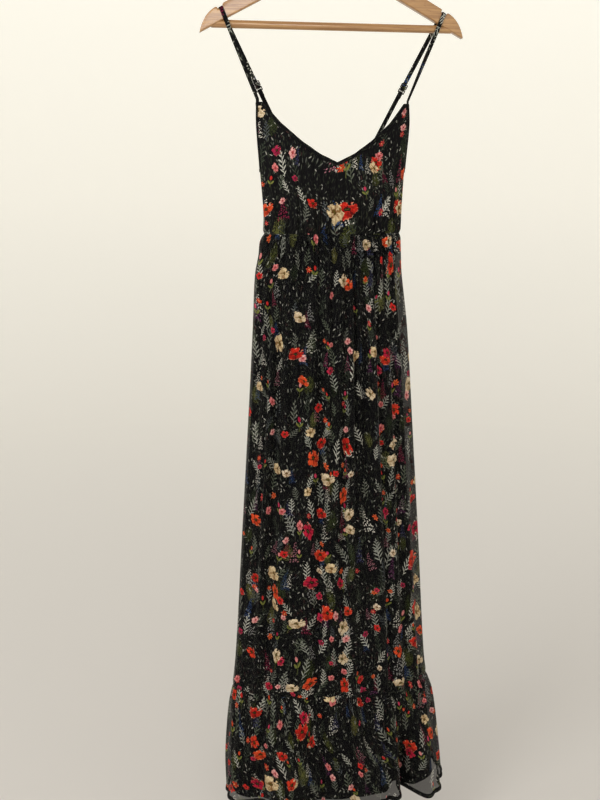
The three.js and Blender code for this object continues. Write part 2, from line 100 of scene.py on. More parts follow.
def add_node(tree: bpy.types.NodeTree, kind: str, *feeds: Feed, named: dict[str, Feed] | None = None,
             **settings: object) -> bpy.types.Node:
    """Adds a shader node with its settings, constants and links.

    Args:
        tree: The material's node tree.
        kind: The node's type without its ShaderNode prefix.
        feeds: What goes into the live inputs, in order. A node feeds its first live output, and None
            leaves an input as it is.
        named: What goes into inputs given by name.
        settings: The node's own properties.

    Returns:
        The new node.
    """
    node = tree.nodes.new("ShaderNode" + kind)
    for name, value in settings.items():
        setattr(node, name, value)
    live = [socket for socket in node.inputs if socket.enabled]
    pairs = list(zip(live, feeds)) + [(node.inputs[name], feed) for name, feed in (named or {}).items()]
    for socket, feed in pairs:
        if isinstance(feed, bpy.types.Node):
            feed = next(output for output in feed.outputs if output.enabled)
        if isinstance(feed, bpy.types.NodeSocket):
            tree.links.new(feed, socket)
        elif feed is not None:
            socket.default_value = feed
    return node


def pick(tree: bpy.types.NodeTree, chance: Feed, colours: tuple[str, ...]) -> bpy.types.Node:
    """Picks one of several colours by a chance.

    Args:
        tree: The material's node tree.
        chance: A number from 0 to 1.
        colours: sRGB hex colours with equal shares.

    Returns:
        The node that gives the colour.
    """
    node = add_node(tree, "ValToRGB", chance)
    node.color_ramp.interpolation = "CONSTANT"
    stops = node.color_ramp.elements
    stops.remove(stops[1])
    stops[0].color = linear(colours[0])
    for index, colour in enumerate(colours[1:], 1):
        stops.new(index / len(colours)).color = linear(colour)
    return node


@dataclass(frozen=True)
class Scatter:
    """How one kind of motif is strewn over the flat cloth, in millimetres.

    Attributes:
        cell: Width and height of the cloth that each motif has to itself.
        share: Share of the cells that hold one.
        shift: Offset of the cells, in cells.
        turn: Degrees that a motif may lean either way.
        smallest: Size of the smallest one, of the full size.
        jitter: How far a motif strays in its cell.
        patch: Breadth of the patches where the motif is common or rare.
    """

    cell: tuple[float, float]
    share: float
    shift: tuple[float, float]
    turn: float
    smallest: float
    jitter: float = 0.7
    patch: float = 95.0

    def strew(self, tree: bpy.types.NodeTree, cloth: Feed) -> tuple[bpy.types.Node, ...]:
        """Places the motifs.

        Args:
            tree: The material's node tree.
            cloth: Place on the flat cloth in millimetres.

        Returns:
            The place within the nearest motif in millimetres, 1 where that motif exists, and a chance
            from 0 to 1 for its colour.
        """
        add = partial(add_node, tree)
        width, height = self.cell
        grid = add("VectorMath", cloth, (1 / width, 1 / height, 0), (*self.shift, 0),
                   operation="MULTIPLY_ADD")
        nearest = add("TexVoronoi", named={"Vector": grid, "Scale": 1.0, "Randomness": self.jitter},
                      voronoi_dimensions="2D")
        away = add("VectorMath", grid, nearest.outputs["Position"], operation="SUBTRACT")
        place = add("VectorMath", away, (width, height, 0), operation="MULTIPLY")
        draws = add("SeparateColor", nearest.outputs["Color"])
        lean = 2 * math.radians(self.turn)
        angle = add("Math", draws.outputs["Green"], lean, -lean / 2, operation="MULTIPLY_ADD")
        turned = add("VectorRotate", place, None, angle, rotation_type="Z_AXIS")
        largest = 1 / self.smallest
        grow = add("Math", draws.outputs["Blue"], largest - 1, 1.0, operation="MULTIPLY_ADD")
        spot = add("VectorMath", turned, grow, operation="SCALE")
        centre = add("VectorMath", nearest.outputs["Position"],
                     (width / self.patch, height / self.patch, 0), (3 * self.shift[0], 5 * self.shift[1], 0),
                     operation="MULTIPLY_ADD")
        growth = add("TexNoise", centre, 1.0, 0.0, 0.5, noise_dimensions="2D")
        common = add("MapRange", growth, 0.34, 0.6, 0.25 * self.share, self.share)
        present = add("Math", draws.outputs["Red"], common, operation="LESS_THAN")
        hue = add("Math", draws.outputs["Red"], 1 / self.share, operation="MULTIPLY")
        return spot, present, hue


@dataclass(frozen=True)
class Motif:
    """Something printed on the cloth again and again."""

    scatter: Scatter

    def draw(self, tree: bpy.types.NodeTree, spot: Feed, hue: Feed) -> list[tuple[Feed, Feed]]:
        """Draws one motif round its own middle.

        Args:
            tree: The material's node tree.
            spot: Place within the motif in millimetres.
            hue: A chance from 0 to 1 that picks its colours.

        Returns:
            The motif's parts from the lowest up, each a mask and a colour.
        """
        raise NotImplementedError

    def paint(self, tree: bpy.types.NodeTree, cloth: Feed, below: Feed) -> tuple[Feed, Feed]:
        """Prints the motif over what is there.

        Args:
            tree: The material's node tree.
            cloth: Place on the flat cloth in millimetres.
            below: Colour printed so far.

        Returns:
            The new colour, and the mask of the motif's lowest part.
        """
        add = partial(add_node, tree)
        spot, present, hue = self.scatter.strew(tree, cloth)
        first = None
        for mask, colour in self.draw(tree, spot, hue):
            shown = add("Math", mask, present, operation="MULTIPLY")
            below = add("Mix", shown, below, colour, data_type="RGBA")
            first = first or shown
        return below, first


@dataclass(frozen=True)
class Flower(Motif):
    """An open flower with uneven petals, veins, a dark heart and stamens.

    Attributes:
        radius: Reach of the petals in millimetres.
        petals: Number of petals.
        shades: Colours of the petals' folds.
        lights: Colours of the petals' faces.
        hearts: Colours of the middle.
        heart: Radius of the middle, of the whole.
        notch: Reach of the notches between the petals, of the whole.
        tilt: How much the flower is flattened, as a cup seen from the side.
        rim_light: Strength of the pale touches along the petals' rims.
        rim_colour: Colour of those touches.
        core_colour: Colour of the stamens.
    """

    radius: float
    petals: int
    shades: tuple[str, ...]
    lights: tuple[str, ...]
    hearts: tuple[str, ...]
    heart: float = 0.26
    notch: float = 0.62
    tilt: float = 1.0
    rim_light: float = 0.4
    rim_colour: str = "#f0c8a0"
    core_colour: str = "#4a4a1d"

    def draw(self, tree: bpy.types.NodeTree, spot: Feed, hue: Feed) -> list[tuple[Feed, Feed]]:
        """Draws the petals, then the stamens and the heart."""
        add = partial(add_node, tree)
        flat = add("VectorMath", spot, (1 / self.radius, self.tilt / self.radius, 0), operation="MULTIPLY")
        grain = add("TexNoise", flat, 1.7, 2.0, 0.6, noise_dimensions="2D")
        strays = add("VectorMath", grain.outputs["Color"], (0.9, 0.9, 0), (-0.45, -0.45, 0),
                     operation="MULTIPLY_ADD")
        bent = add("VectorMath", flat, strays, operation="ADD")
        parts = add("SeparateXYZ", bent)
        turn = add("Math", parts.outputs["Y"], parts.outputs["X"], operation="ARCTAN2")
        out = add("VectorMath", bent, operation="LENGTH")
        lobes = add("Math", turn, self.petals / 2, operation="MULTIPLY")
        petal = add("Math", add("Math", lobes, operation="COSINE"), operation="ABSOLUTE")
        reach = add("Math", petal, 1.0 - self.notch, self.notch, operation="MULTIPLY_ADD")
        mask = add("Math", out, reach, operation="LESS_THAN")
        veins = add("TexNoise", add("CombineXYZ", turn, out), 2.6, 2.0, 0.7, noise_dimensions="2D")
        rim = add("Math", out, 0.4, -1.35, operation="MULTIPLY_ADD")
        face = add("Math", petal, 0.75, rim, operation="MULTIPLY_ADD")
        lit = add("Math", parts.outputs["Y"], 0.25, face, operation="MULTIPLY_ADD")
        tone = add("Math", veins, 2.1, lit, operation="MULTIPLY_ADD", use_clamp=True)
        colour = add("Mix", tone, pick(tree, hue, self.shades), pick(tree, hue, self.lights),
                     data_type="RGBA")
        heart = add("Math", out, self.heart, operation="LESS_THAN")
        core = add("Math", out, 0.45 * self.heart, operation="LESS_THAN")
        edge = add("Math", add("Math", reach, out, operation="SUBTRACT"), 0.1, operation="LESS_THAN")
        crest = add("Math", veins, 0.52, operation="GREATER_THAN")
        rim_light = add("Math", edge, add("Math", crest, mask, operation="MULTIPLY"), operation="MULTIPLY")
        pale = add("Math", rim_light, self.rim_light, operation="MULTIPLY")
        return [(mask, colour), (pale, linear(self.rim_colour)), (heart, pick(tree, hue, self.hearts)),
                (core, linear(self.core_colour))]


@dataclass(frozen=True)
class Bud(Motif):
    """A closed flower on a stem with a pair of leaves."""

    shades: tuple[str, ...]
    lights: tuple[str, ...]
    leaf: str
    half_width: float = 3.0
    half_height: float = 5.0
    stem_length: float = 26.0
    stem_half: float = 0.7
    stem_colour: str = "#4c5128"
    leaf_place: tuple[float, float] = (4.2, -10.5)
    leaf_half: tuple[float, float] = (2.0, 5.4)
    leaf_lean: float = 38.0

    def draw(self, tree: bpy.types.NodeTree, spot: Feed, hue: Feed) -> list[tuple[Feed, Feed]]:
        """Draws the stem, then the leaves and the bud."""
        add = partial(add_node, tree)
        middle = add("VectorMath", spot, (0, 0.5 * self.stem_length, 0), operation="ADD")
        strip = add("VectorMath", add("VectorMath", middle, operation="ABSOLUTE"),
                    (1 / self.stem_half, 2 / self.stem_length, 0), operation="MULTIPLY")
        sides = add("SeparateXYZ", strip)
        stem = add("Math", add("Math", sides.outputs["X"], sides.outputs["Y"], operation="MAXIMUM"), 1.0,
                   operation="LESS_THAN")
        parts = add("SeparateXYZ", spot)
        across = add("Math", parts.outputs["X"], operation="ABSOLUTE")
        mirrored = add("CombineXYZ", across, parts.outputs["Y"])
        base = add("VectorMath", mirrored, (*self.leaf_place, 0), operation="SUBTRACT")
        leant = add("VectorRotate", base, None, math.radians(self.leaf_lean), rotation_type="Z_AXIS")
        blade = add("VectorMath", leant, (1 / self.leaf_half[0], 1 / self.leaf_half[1], 0),
                    operation="MULTIPLY")
        leaves = add("Math", add("VectorMath", blade, operation="LENGTH"), 1.0, operation="LESS_THAN")
        egg = add("VectorMath", spot, (1 / self.half_width, 1 / self.half_height, 0), operation="MULTIPLY")
        out = add("VectorMath", egg, operation="LENGTH")
        bud = add("Math", out, 1.0, operation="LESS_THAN")
        grain = add("TexNoise", spot, 0.5, 1.0, 0.5, noise_dimensions="2D")
        tone = add("Math", grain, 1.6, -0.25, operation="MULTIPLY_ADD", use_clamp=True)
        colour = add("Mix", tone, pick(tree, hue, self.shades), pick(tree, hue, self.lights),
                     data_type="RGBA")
        return [(bud, colour), (stem, linear(self.stem_colour)), (leaves, linear(self.leaf)), (bud, colour)]


@dataclass(frozen=True)
class Sprig(Motif):
    """A stem with narrow leaves to both sides, smaller towards its tip."""

    colours: tuple[str, ...]
    height: float = 46.0
    reach: float = 9.5
    pitch: float = 8.2
    blade: float = 1.5

    def draw(self, tree: bpy.types.NodeTree, spot: Feed, hue: Feed) -> list[tuple[Feed, Feed]]:
        """Draws the leaves and the stem as one."""
        add = partial(add_node, tree)
        parts = add("SeparateXYZ", spot)
        across = add("Math", parts.outputs["X"], operation="ABSOLUTE")
        side = add("Math", parts.outputs["X"], 0.0, operation="GREATER_THAN")
        rise = add("Math", across, -0.85, parts.outputs["Y"], operation="MULTIPLY_ADD")
        steps = add("Math", rise, 1 / self.pitch, operation="MULTIPLY")
        staggered = add("Math", side, 0.5, steps, operation="MULTIPLY_ADD")
        off = add("Math", add("Math", staggered, operation="FRACT"), 0.5, operation="SUBTRACT")
        gap = add("Math", add("Math", off, operation="ABSOLUTE"), self.pitch, operation="MULTIPLY")
        level = add("Math", parts.outputs["Y"], 2 / self.height, operation="MULTIPLY")
        taper = add("Math", level, level, operation="MULTIPLY")
        tip = add("Math", taper, -self.reach, self.reach, operation="MULTIPLY_ADD")
        along = add("Math", across, tip, operation="DIVIDE")
        rest = add("Math", 1.0, along, operation="SUBTRACT")
        bulge = add("Math", along, rest, operation="MULTIPLY")
        room = add("Math", bulge, 4 * self.blade, operation="MULTIPLY")
        leaves = add("Math", gap, room, operation="LESS_THAN")
        stem = add("Math", across, 0.45, operation="LESS_THAN")
        both = add("Math", leaves, stem, operation="MAXIMUM")
        far = add("Math", add("Math", parts.outputs["Y"], operation="ABSOLUTE"), self.height / 2,
                  operation="LESS_THAN")
        return [(add("Math", both, far, operation="MULTIPLY"), pick(tree, hue, self.colours))]


@dataclass(frozen=True)
class Spike(Motif):
    """A tall tapering head of many small round florets."""

    colours: tuple[str, ...]
    height: float = 40.0
    reach: float = 5.5
    floret: float = 3.1
    dot: float = 0.42

    def draw(self, tree: bpy.types.NodeTree, spot: Feed, hue: Feed) -> list[tuple[Feed, Feed]]:
        """Draws the florets within the head's outline."""
        add = partial(add_node, tree)
        parts = add("SeparateXYZ", spot)
        across = add("Math", parts.outputs["X"], operation="ABSOLUTE")
        room = add("Math", parts.outputs["Y"], -self.reach / self.height, 0.55 * self.reach,
                   operation="MULTIPLY_ADD")
        inside = add("Math", across, room, operation="LESS_THAN")
        far = add("Math", add("Math", parts.outputs["Y"], operation="ABSOLUTE"), self.height / 2,
                  operation="LESS_THAN")
        grid = add("VectorMath", spot, (1 / self.floret, 1 / self.floret, 0), operation="MULTIPLY")
        dots = add("TexVoronoi", named={"Vector": grid, "Scale": 1.0, "Randomness": 0.7},
                   voronoi_dimensions="2D")
        dot = add("Math", dots.outputs["Distance"], self.dot, operation="LESS_THAN")
        head = add("Math", add("Math", inside, far, operation="MULTIPLY"), dot, operation="MULTIPLY")
        return [(head, pick(tree, hue, self.colours))]


@dataclass(frozen=True)
class Bush(Motif):
    """A rounded mass of fine foliage."""

    colours: tuple[str, ...]
    half_width: float = 13.0
    half_height: float = 22.0
    stroke: tuple[float, float] = (1.8, 3.4)

    def draw(self, tree: bpy.types.NodeTree, spot: Feed, hue: Feed) -> list[tuple[Feed, Feed]]:
        """Draws the foliage within the bush's outline."""
        add = partial(add_node, tree)
        oval = add("VectorMath", spot, (1 / self.half_width, 1 / self.half_height, 0), operation="MULTIPLY")
        out = add("VectorMath", oval, operation="LENGTH")
        grid = add("VectorMath", spot, (1 / self.stroke[0], 1 / self.stroke[1], 0), operation="MULTIPLY")
        strokes = add("TexNoise", grid, 1.0, 1.0, 0.5, noise_dimensions="2D")
        thin = add("Math", out, 0.16, 0.42, operation="MULTIPLY_ADD")
        leaf = add("Math", strokes, thin, operation="GREATER_THAN")
        inside = add("Math", out, 1.0, operation="LESS_THAN")
        return [(add("Math", leaf, inside, operation="MULTIPLY"), pick(tree, hue, self.colours))]


@dataclass(frozen=True)
class Leaf(Motif):
    """One small pointed leaf."""

    colours: tuple[str, ...]
    half_width: float = 1.2
    half_height: float = 3.6

    def draw(self, tree: bpy.types.NodeTree, spot: Feed, hue: Feed) -> list[tuple[Feed, Feed]]:
        """Draws the leaf as a long oval."""
        add = partial(add_node, tree)
        oval = add("VectorMath", spot, (1 / self.half_width, 1 / self.half_height, 0), operation="MULTIPLY")
        inside = add("Math", add("VectorMath", oval, operation="LENGTH"), 1.0, operation="LESS_THAN")
        return [(inside, pick(tree, hue, self.colours))]


POPPY_SHADES = ("#5c0808", "#6e0c0a", "#80643e", "#78180a", "#5e0819", "#7c5a34")
POPPY_LIGHTS = ("#cc2a1c", "#da3e22", "#dccbae", "#de5026", "#bc1c3a", "#dcc8a0")
POPPY_HEARTS = ("#16140c", "#20160c", "#4a3a18", "#1c1a0e", "#1d0a10", "#5a3c18")
SMALL_SHADES = ("#96323c", "#6e0c22", "#8a101a", "#a04a54", "#8a6a48", "#5a0c22")
SMALL_LIGHTS = ("#dc8884", "#c42a4a", "#cc2a20", "#e4b0a6", "#dfd2bc", "#a82248")
SMALL_HEARTS = ("#8c1020", "#30060f", "#241008", "#9c1a30", "#5c3a18", "#2a0610")
STAR_SHADES = ("#8c1a0c", "#9a2a10", "#7c1020")
STAR_LIGHTS = ("#d8401e", "#e0602a", "#c82a34")
STAR_HEARTS = ("#d8b070", "#2a100a", "#c89a58")
BUD_SHADES = ("#80101a", "#8c2612", "#8c1c34", "#700c22", "#984a50")
BUD_LIGHTS = ("#c82c22", "#d44c26", "#c43c5c", "#a81c40", "#d88c86")
FOLIAGE = ("#42461f", "#2c3317", "#55562c", "#232a1a", "#5c5a30")
SPRIG_COLOURS = ("#565c4e", "#8e9086", "#343a30", "#b6b5aa", "#686a60", "#484c4e")
SPIKE_COLOURS = ("#28406c", "#5a2a50", "#741c38", "#343458", "#7c3450", "#263c64")
SPRAY_COLOURS = ("#bcb8ae", "#8c8a88", "#d4cfc4", "#98646e")
DIM_LEAVES = ("#24281e", "#3a3d34", "#1c2018", "#34362e", "#2c2e22", "#34201f", "#24242a")
PALE_LEAVES = ("#5c5e56", "#86867e", "#44483e", "#a8a69c", "#4e504a", "#686a62")


@dataclass(frozen=True)
class MeadowPrint:
    """Wild flowers and leaves on a near-black ground, growing upwards, printed on flat cloth."""

    ground: str = "#070608"
    stroke: tuple[float, float] = (1.7, 9.0)
    stroke_colour: str = "#24261f"
    drift: float = 26.0
    drift_size: float = 80.0
    foliage: tuple[Motif, ...] = (
        Leaf(Scatter((5.8, 8.2), 0.75, (0.0, 0.0), 50, 0.55, 0.95), DIM_LEAVES),
        Bush(Scatter((49, 71), 0.7, (0.3, 0.6), 14, 0.6), FOLIAGE),
        Leaf(Scatter((6.6, 9.4), 0.6, (0.35, 0.75), 65, 0.5, 0.95, 42.0), PALE_LEAVES, 0.95, 3.7),
        Spike(Scatter((43, 61), 0.7, (0.4, 0.7), 16, 0.6), SPRAY_COLOURS, 44.0, 12.0, 4.4, 0.26),
        Sprig(Scatter((33, 51), 0.85, (0.1, 0.2), 26, 0.65), SPRIG_COLOURS),
        Spike(Scatter((41, 66), 0.66, (0.7, 0.4), 12, 0.6), SPIKE_COLOURS, 42.0, 9.5, 3.8, 0.3),
        Sprig(Scatter((41, 43), 0.75, (0.6, 0.8), 50, 0.65), SPRIG_COLOURS, 36.0, 8.5, 7.4, 1.3),
    )
    flowers: tuple[Motif, ...] = (
        Bud(Scatter((36, 49), 0.45, (0.45, 0.15), 18, 0.6), BUD_SHADES, BUD_LIGHTS, "#6c7036"),
        Flower(Scatter((39, 47), 0.4, (0.65, 0.55), 180, 0.65), 6.4, 6, STAR_SHADES, STAR_LIGHTS,
               STAR_HEARTS, 0.2, 0.3),
        Flower(Scatter((35, 39), 0.5, (0.2, 0.9), 60, 0.65), 8.2, 5, SMALL_SHADES, SMALL_LIGHTS,
               SMALL_HEARTS, 0.3, 0.74, 1.1),
        Flower(Scatter((59, 66), 0.6, (0.5, 0.35), 35, 0.6), 17.5, 3, POPPY_SHADES, POPPY_LIGHTS,
               POPPY_HEARTS, 0.26, 0.7, 1.25),
        Flower(Scatter((71, 61), 0.56, (0.85, 0.75), 180, 0.6), 15.5, 5, POPPY_SHADES[::-1],
               POPPY_LIGHTS[::-1], POPPY_HEARTS[::-1], 0.3, 0.7, 1.1),
    )

    def paint(self, tree: bpy.types.NodeTree) -> tuple[Feed, Feed]:
        """Lays the whole print out on the cloth map.

        Args:
            tree: The material's node tree.

        Returns:
            The printed colour, and 1 where a flower's thick ink lies.
        """
        add = partial(add_node, tree)
        cloth_map = add("UVMap", uv_map=CLOTH_MAP)
        flat = add("VectorMath", cloth_map, (1 / MM, 1 / MM, 0), operation="MULTIPLY")
        slow = add("VectorMath", flat, (1 / self.drift_size, 1 / self.drift_size, 0), operation="MULTIPLY")
        sway = add("TexNoise", slow, 1.0, 0.0, 0.5, noise_dimensions="2D")
        cloth = add("VectorMath", sway.outputs["Color"], (self.drift, self.drift, 0), flat,
                    operation="MULTIPLY_ADD")
        strokes = add("VectorMath", cloth, (1 / self.stroke[0], 1 / self.stroke[1], 0), operation="MULTIPLY")
        grass = add("TexNoise", strokes, 1.0, 1.0, 0.5, noise_dimensions="2D")
        blades = add("Math", grass, 0.66, operation="GREATER_THAN")
        colour = add("Mix", blades, linear(self.ground), linear(self.stroke_colour), data_type="RGBA")
        for motif in self.foliage:
            colour, _ = motif.paint(tree, cloth, colour)
        ink = 0.0
        for motif in self.flowers:
            colour, mask = motif.paint(tree, cloth, colour)
            ink = add("Math", mask, ink, operation="MAXIMUM")
        return colour, ink


@dataclass(frozen=True)
class Finish:
    """A surface: what the real material is, and how it takes the light."""

    name: str
    slot: str

    def shade(self, tree: bpy.types.NodeTree) -> dict[str, Feed]:
        """Gives what the shader's sockets take, as constants or as nodes made in the tree."""
        raise NotImplementedError

    def make(self) -> bpy.types.Material:
        """Makes the material, or finds the one made before."""
        known = bpy.data.materials.get(self.name)
        if known:
            return known
        material = bpy.data.materials.new(self.name)
        material.use_nodes = True
        tree = material.node_tree
        tree.nodes.clear()
        shader = add_node(tree, "BsdfPrincipled", named=self.shade(tree))
        add_node(tree, "OutputMaterial", shader)
        return material

    def dress(self, piece: bpy.types.Object) -> None:
        """Gives a piece this finish alone."""
        piece.data.materials.clear()
        piece.data.materials.append(self.make())


@dataclass(frozen=True)
class PrintedChiffon(Finish):
    """Crinkled chiffon, woven sheer and screen printed: matt, dark, and clear where no flower lies.

    Attributes:
        cover: Share of the light that the plain ground stops, 1 for lined cloth.
        inked: Share that a flower's ink stops.
        meadow: What is printed on it.
        crinkle: Breadth and length of the cloth's crinkles in millimetres.
    """

    cover: float = 1.0
    inked: float = 1.0
    meadow: MeadowPrint = MeadowPrint()
    crinkle: tuple[float, float] = (2.2, 22.0)

    def shade(self, tree: bpy.types.NodeTree) -> dict[str, Feed]:
        """Prints the meadow, and raises the crinkles as fine upright ridges."""
        add = partial(add_node, tree)
        colour, ink = self.meadow.paint(tree)
        cloth_map = add("UVMap", uv_map=CLOTH_MAP)
        grid = add("VectorMath", cloth_map, (1 / (self.crinkle[0] * MM), 1 / (self.crinkle[1] * MM), 0),
                   operation="MULTIPLY")
        ridges = add("TexNoise", grid, 1.0, 2.0, 0.6, noise_dimensions="2D")
        bump = add("Bump", named={"Height": ridges, "Strength": 0.35, "Distance": 0.4 * MM})
        sockets = {"Base Color": colour, "Roughness": 0.8, "Specular IOR Level": 0.1, "Normal": bump,
                   "Sheen Weight": 0.02, "Sheen Roughness": 0.5}
        if self.cover < 1.0:
            sockets["Alpha"] = add("Math", ink, self.inked - self.cover, self.cover, operation="MULTIPLY_ADD")
        return sockets


@dataclass(frozen=True)
class LiningCloth(Finish):
    """Plain woven lining: smooth, matt and black, with a faint upright thread."""

    def shade(self, tree: bpy.types.NodeTree) -> dict[str, Feed]:
        """Draws the threads a little coarser than they are, so that they show."""
        add = partial(add_node, tree)
        place = add("TexCoord")
        grid = add("VectorMath", place.outputs["Object"], (1 / (0.8 * MM), 1 / (0.8 * MM), 1 / (14 * MM)),
                   operation="MULTIPLY")
        thread = add("TexNoise", grid, 1.0, 2.0, 0.6)
        colour = add("Mix", thread, linear("#050506"), linear("#0d0d10"), data_type="RGBA")
        return {"Base Color": colour, "Roughness": 0.8, "Specular IOR Level": 0.08}


@dataclass(frozen=True)
class BlackEnamel(Finish):
    """Stamped metal with a baked black enamel: glossy, rubbed a little grey where it is handled."""

    def shade(self, tree: bpy.types.NodeTree) -> dict[str, Feed]:
        """Breaks the gloss with fine rubbing."""
        add = partial(add_node, tree)
        place = add("TexCoord")
        rubbed = add("TexNoise", place.outputs["Object"], 1 / (1.2 * MM), 3.0, 0.6)
        colour = add("Mix", rubbed, linear("#060607"), linear("#1c1c1e"), data_type="RGBA")
        rough = add("Math", rubbed, 0.3, 0.4, operation="MULTIPLY_ADD")
        return {"Base Color": colour, "Roughness": rough, "Specular IOR Level": 0.2}


@dataclass(frozen=True)
class LacqueredBeech(Finish):
    """Beech under a clear gloss lacquer: warm tan, with long grain and short dark flecks.

    Attributes:
        pale: Colour between the grain lines.
        dark: Colour of the grain lines.
    """

    pale: str = "#b88c56"
    dark: str = "#8e6238"

    def shade(self, tree: bpy.types.NodeTree) -> dict[str, Feed]:
        """Draws grain along the arms, flecks on it and a smooth coat over both."""
        add = partial(add_node, tree)
        place = add("TexCoord")
        grid = add("VectorMath", place.outputs["Object"], (1 / (75 * MM), 1 / (3.5 * MM), 1 / (3.5 * MM)),
                   operation="MULTIPLY")
        grain = add("TexNoise", grid, 1.0, 4.0, 0.62)
        lines = add("MapRange", grain, 0.34, 0.68, 0.0, 1.0)
        wood = add("Mix", lines, linear(self.pale), linear(self.dark), data_type="RGBA")
        small = add("VectorMath", place.outputs["Object"], (1 / (6 * MM), 1 / (0.9 * MM), 1 / (0.9 * MM)),
                    operation="MULTIPLY")
        flecks = add("TexNoise", small, 1.0, 1.0, 0.5)
        marks = add("MapRange", flecks, 0.66, 0.74, 0.0, 0.55)
        colour = add("Mix", marks, wood, linear("#7c4a22"), data_type="RGBA")
        return {"Base Color": colour, "Roughness": 0.4, "Coat Weight": 1.0, "Coat Roughness": 0.14}


@dataclass(frozen=True)
class PlatedSteel(Finish):
    """Drawn steel wire with a bright plating: mirror-like, with faint drawing lines."""

    def shade(self, tree: bpy.types.NodeTree) -> dict[str, Feed]:
        """Varies the gloss along the wire."""
        add = partial(add_node, tree)
        place = add("TexCoord")
        lines = add("TexNoise", place.outputs["Object"], 1 / (2.5 * MM), 2.0, 0.5)
        rough = add("Math", lines, 0.16, 0.1, operation="MULTIPLY_ADD")
        return {"Base Color": linear("#c9ccd0"), "Metallic": 1.0, "Roughness": rough}


@dataclass(frozen=True)
class StudioPaper(Finish):
    """Matt paper of the floor and its round backdrop, with painted light and shade in its colour: darker low
    down and near the dress, paler outwards and towards the top.

    Attributes:
        low: Colour of the floor below the dress, darkened there as painted shade.
        high: Colour of the top of the wall, paled there as painted light.
        floor: Height of the floor in metres.
        top: Height where the wall is palest.
        reach: Distance of the wall from the dress in metres.
        glow: Light of its own, for the lamps that shine on the paper alone.
    """

    low: str = "#b1aca6"
    high: str = "#f0eee6"
    floor: float = -1.68
    top: float = 0.7
    reach: float = 4.8
    glow: float = 0.45

    def shade(self, tree: bpy.types.NodeTree) -> dict[str, Feed]:
        """Blends the two colours half by distance and half by height, as painted light and shade."""
        add = partial(add_node, tree)
        place = add("TexCoord").outputs["Object"]
        level = add("SeparateXYZ", place).outputs["Z"]
        height = add("MapRange", level, self.floor, self.top, 0.0, 0.5)
        level_place = add("VectorMath", place, (1, 1, 0), operation="MULTIPLY")
        away = add("VectorMath", level_place, operation="LENGTH")
        share = add("Math", away, 0.5 / self.reach, height, operation="MULTIPLY_ADD", use_clamp=True)
        # painted light and shade: darker on the floor near the dress, paler far out and high up; the glow
        # shines in the same colours
        painted_light_tint = add("Mix", share, linear(self.low), linear(self.high), data_type="RGBA")
        return {"Base Color": painted_light_tint, "Roughness": 0.95, "Specular IOR Level": 0.1,
                "Emission Color": painted_light_tint, "Emission Strength": self.glow}


SHEER = PrintedChiffon("printed_chiffon_sheer", "printed_chiffon", 0.8, 0.95)
LINED = PrintedChiffon("printed_chiffon_lined", "printed_chiffon")
STRAP = PrintedChiffon("printed_chiffon_strap", "printed_chiffon",
                       meadow=MeadowPrint(flowers=MeadowPrint.flowers[2:3]))
TRIM = PrintedChiffon("printed_chiffon_trim", "black_binding",
                      meadow=MeadowPrint(foliage=MeadowPrint.foliage[:1], flowers=()))
LINING = LiningCloth("black_woven_lining", "black_lining")
ENAMEL = BlackEnamel("black_enamelled_metal", "black_metal")
BEECH = LacqueredBeech("lacquered_beech", "hanger_wood")
STEEL = PlatedSteel("plated_steel_wire", "hook_steel")
PAPER = StudioPaper("studio_paper", "")


def mesh_piece(name: str, points: np.ndarray, faces: list,
               cloth: np.ndarray | None = None) -> bpy.types.Object:
    """Makes a smooth mesh object.

    Args:
        name: The piece's name.
        points: Corners in metres.
        faces: Corner numbers of each face, seen from outside against the clock.
        cloth: Place of each corner on the flat cloth in metres.

    Returns:
        The new object, at the origin.
    """
    mesh = bpy.data.meshes.new(name)
    mesh.from_pydata(points.tolist(), [], faces)
    if cloth is not None:
        corners = np.empty(len(mesh.loops), dtype=np.int32)
        mesh.loops.foreach_get("vertex_index", corners)
        mesh.uv_layers.new(name=CLOTH_MAP).data.foreach_set("uv", cloth[corners].astype(np.float32).ravel())
    mesh.polygons.foreach_set("use_smooth", np.ones(len(mesh.polygons), dtype=bool))
    mesh.update()
    piece = bpy.data.objects.new(name, mesh)
    bpy.context.scene.collection.objects.link(piece)
    return piece


def grid_faces(rows: int, columns: int, closed: bool = False) -> list[list[int]]:
    """Numbers the faces of a grid of points.

    Args:
        rows: Rows of points.
        columns: Points in each row.
        closed: Whether each row joins up with its own start.

    Returns:
        Four corner numbers for each face.
    """
    across = columns if closed else columns - 1
    row, column = np.meshgrid(np.arange(rows - 1), np.arange(across), indexing="ij")
    start = row * columns + column
    beside = row * columns + (column + 1) % columns
    return np.stack([start, start + columns, beside + columns, beside], axis=-1).reshape(-1, 4).tolist()


def swept(name: str, path: np.ndarray, outward: np.ndarray, inward: np.ndarray,
          profile: np.ndarray) -> bpy.types.Object:
    """Sweeps a closed profile along a path, as a solid with closed ends.

    Args:
        name: The piece's name.
        path: Points of the path in millimetres.
        outward: Direction of the profile's first measure at each point.
        inward: Direction of its second measure at each point.
        profile: Corners of the profile in millimetres.

    Returns:
        The new piece, with a cloth map along and round it.
    """
    rings = (path[:, None] + profile[None, :, :1] * outward[:, None] + profile[None, :, 1:] * inward[:, None])
    count, corners = rings.shape[:2]
    faces = grid_faces(count, corners, closed=True)
    first = list(range(corners))
    faces += [first, [(count - 1) * corners + corner for corner in first[::-1]]]
    along = np.concatenate([[0.0], np.cumsum(np.linalg.norm(np.diff(path, axis=0), axis=1))])
    around = np.concatenate([[0.0], np.cumsum(np.linalg.norm(np.diff(profile, axis=0), axis=1))])
    cloth = np.stack(np.broadcast_arrays(around[None, :], -along[:, None]), axis=-1)
    return mesh_piece(name, rings.reshape(-1, 3) * MM, faces, cloth.reshape(-1, 2) * MM)


@dataclass(frozen=True)
class Section:
    """One level ring of the dress: half widths to each side, depths to the front and the back."""

    drop: float
    left: float
    right: float
    front: float
    back: float


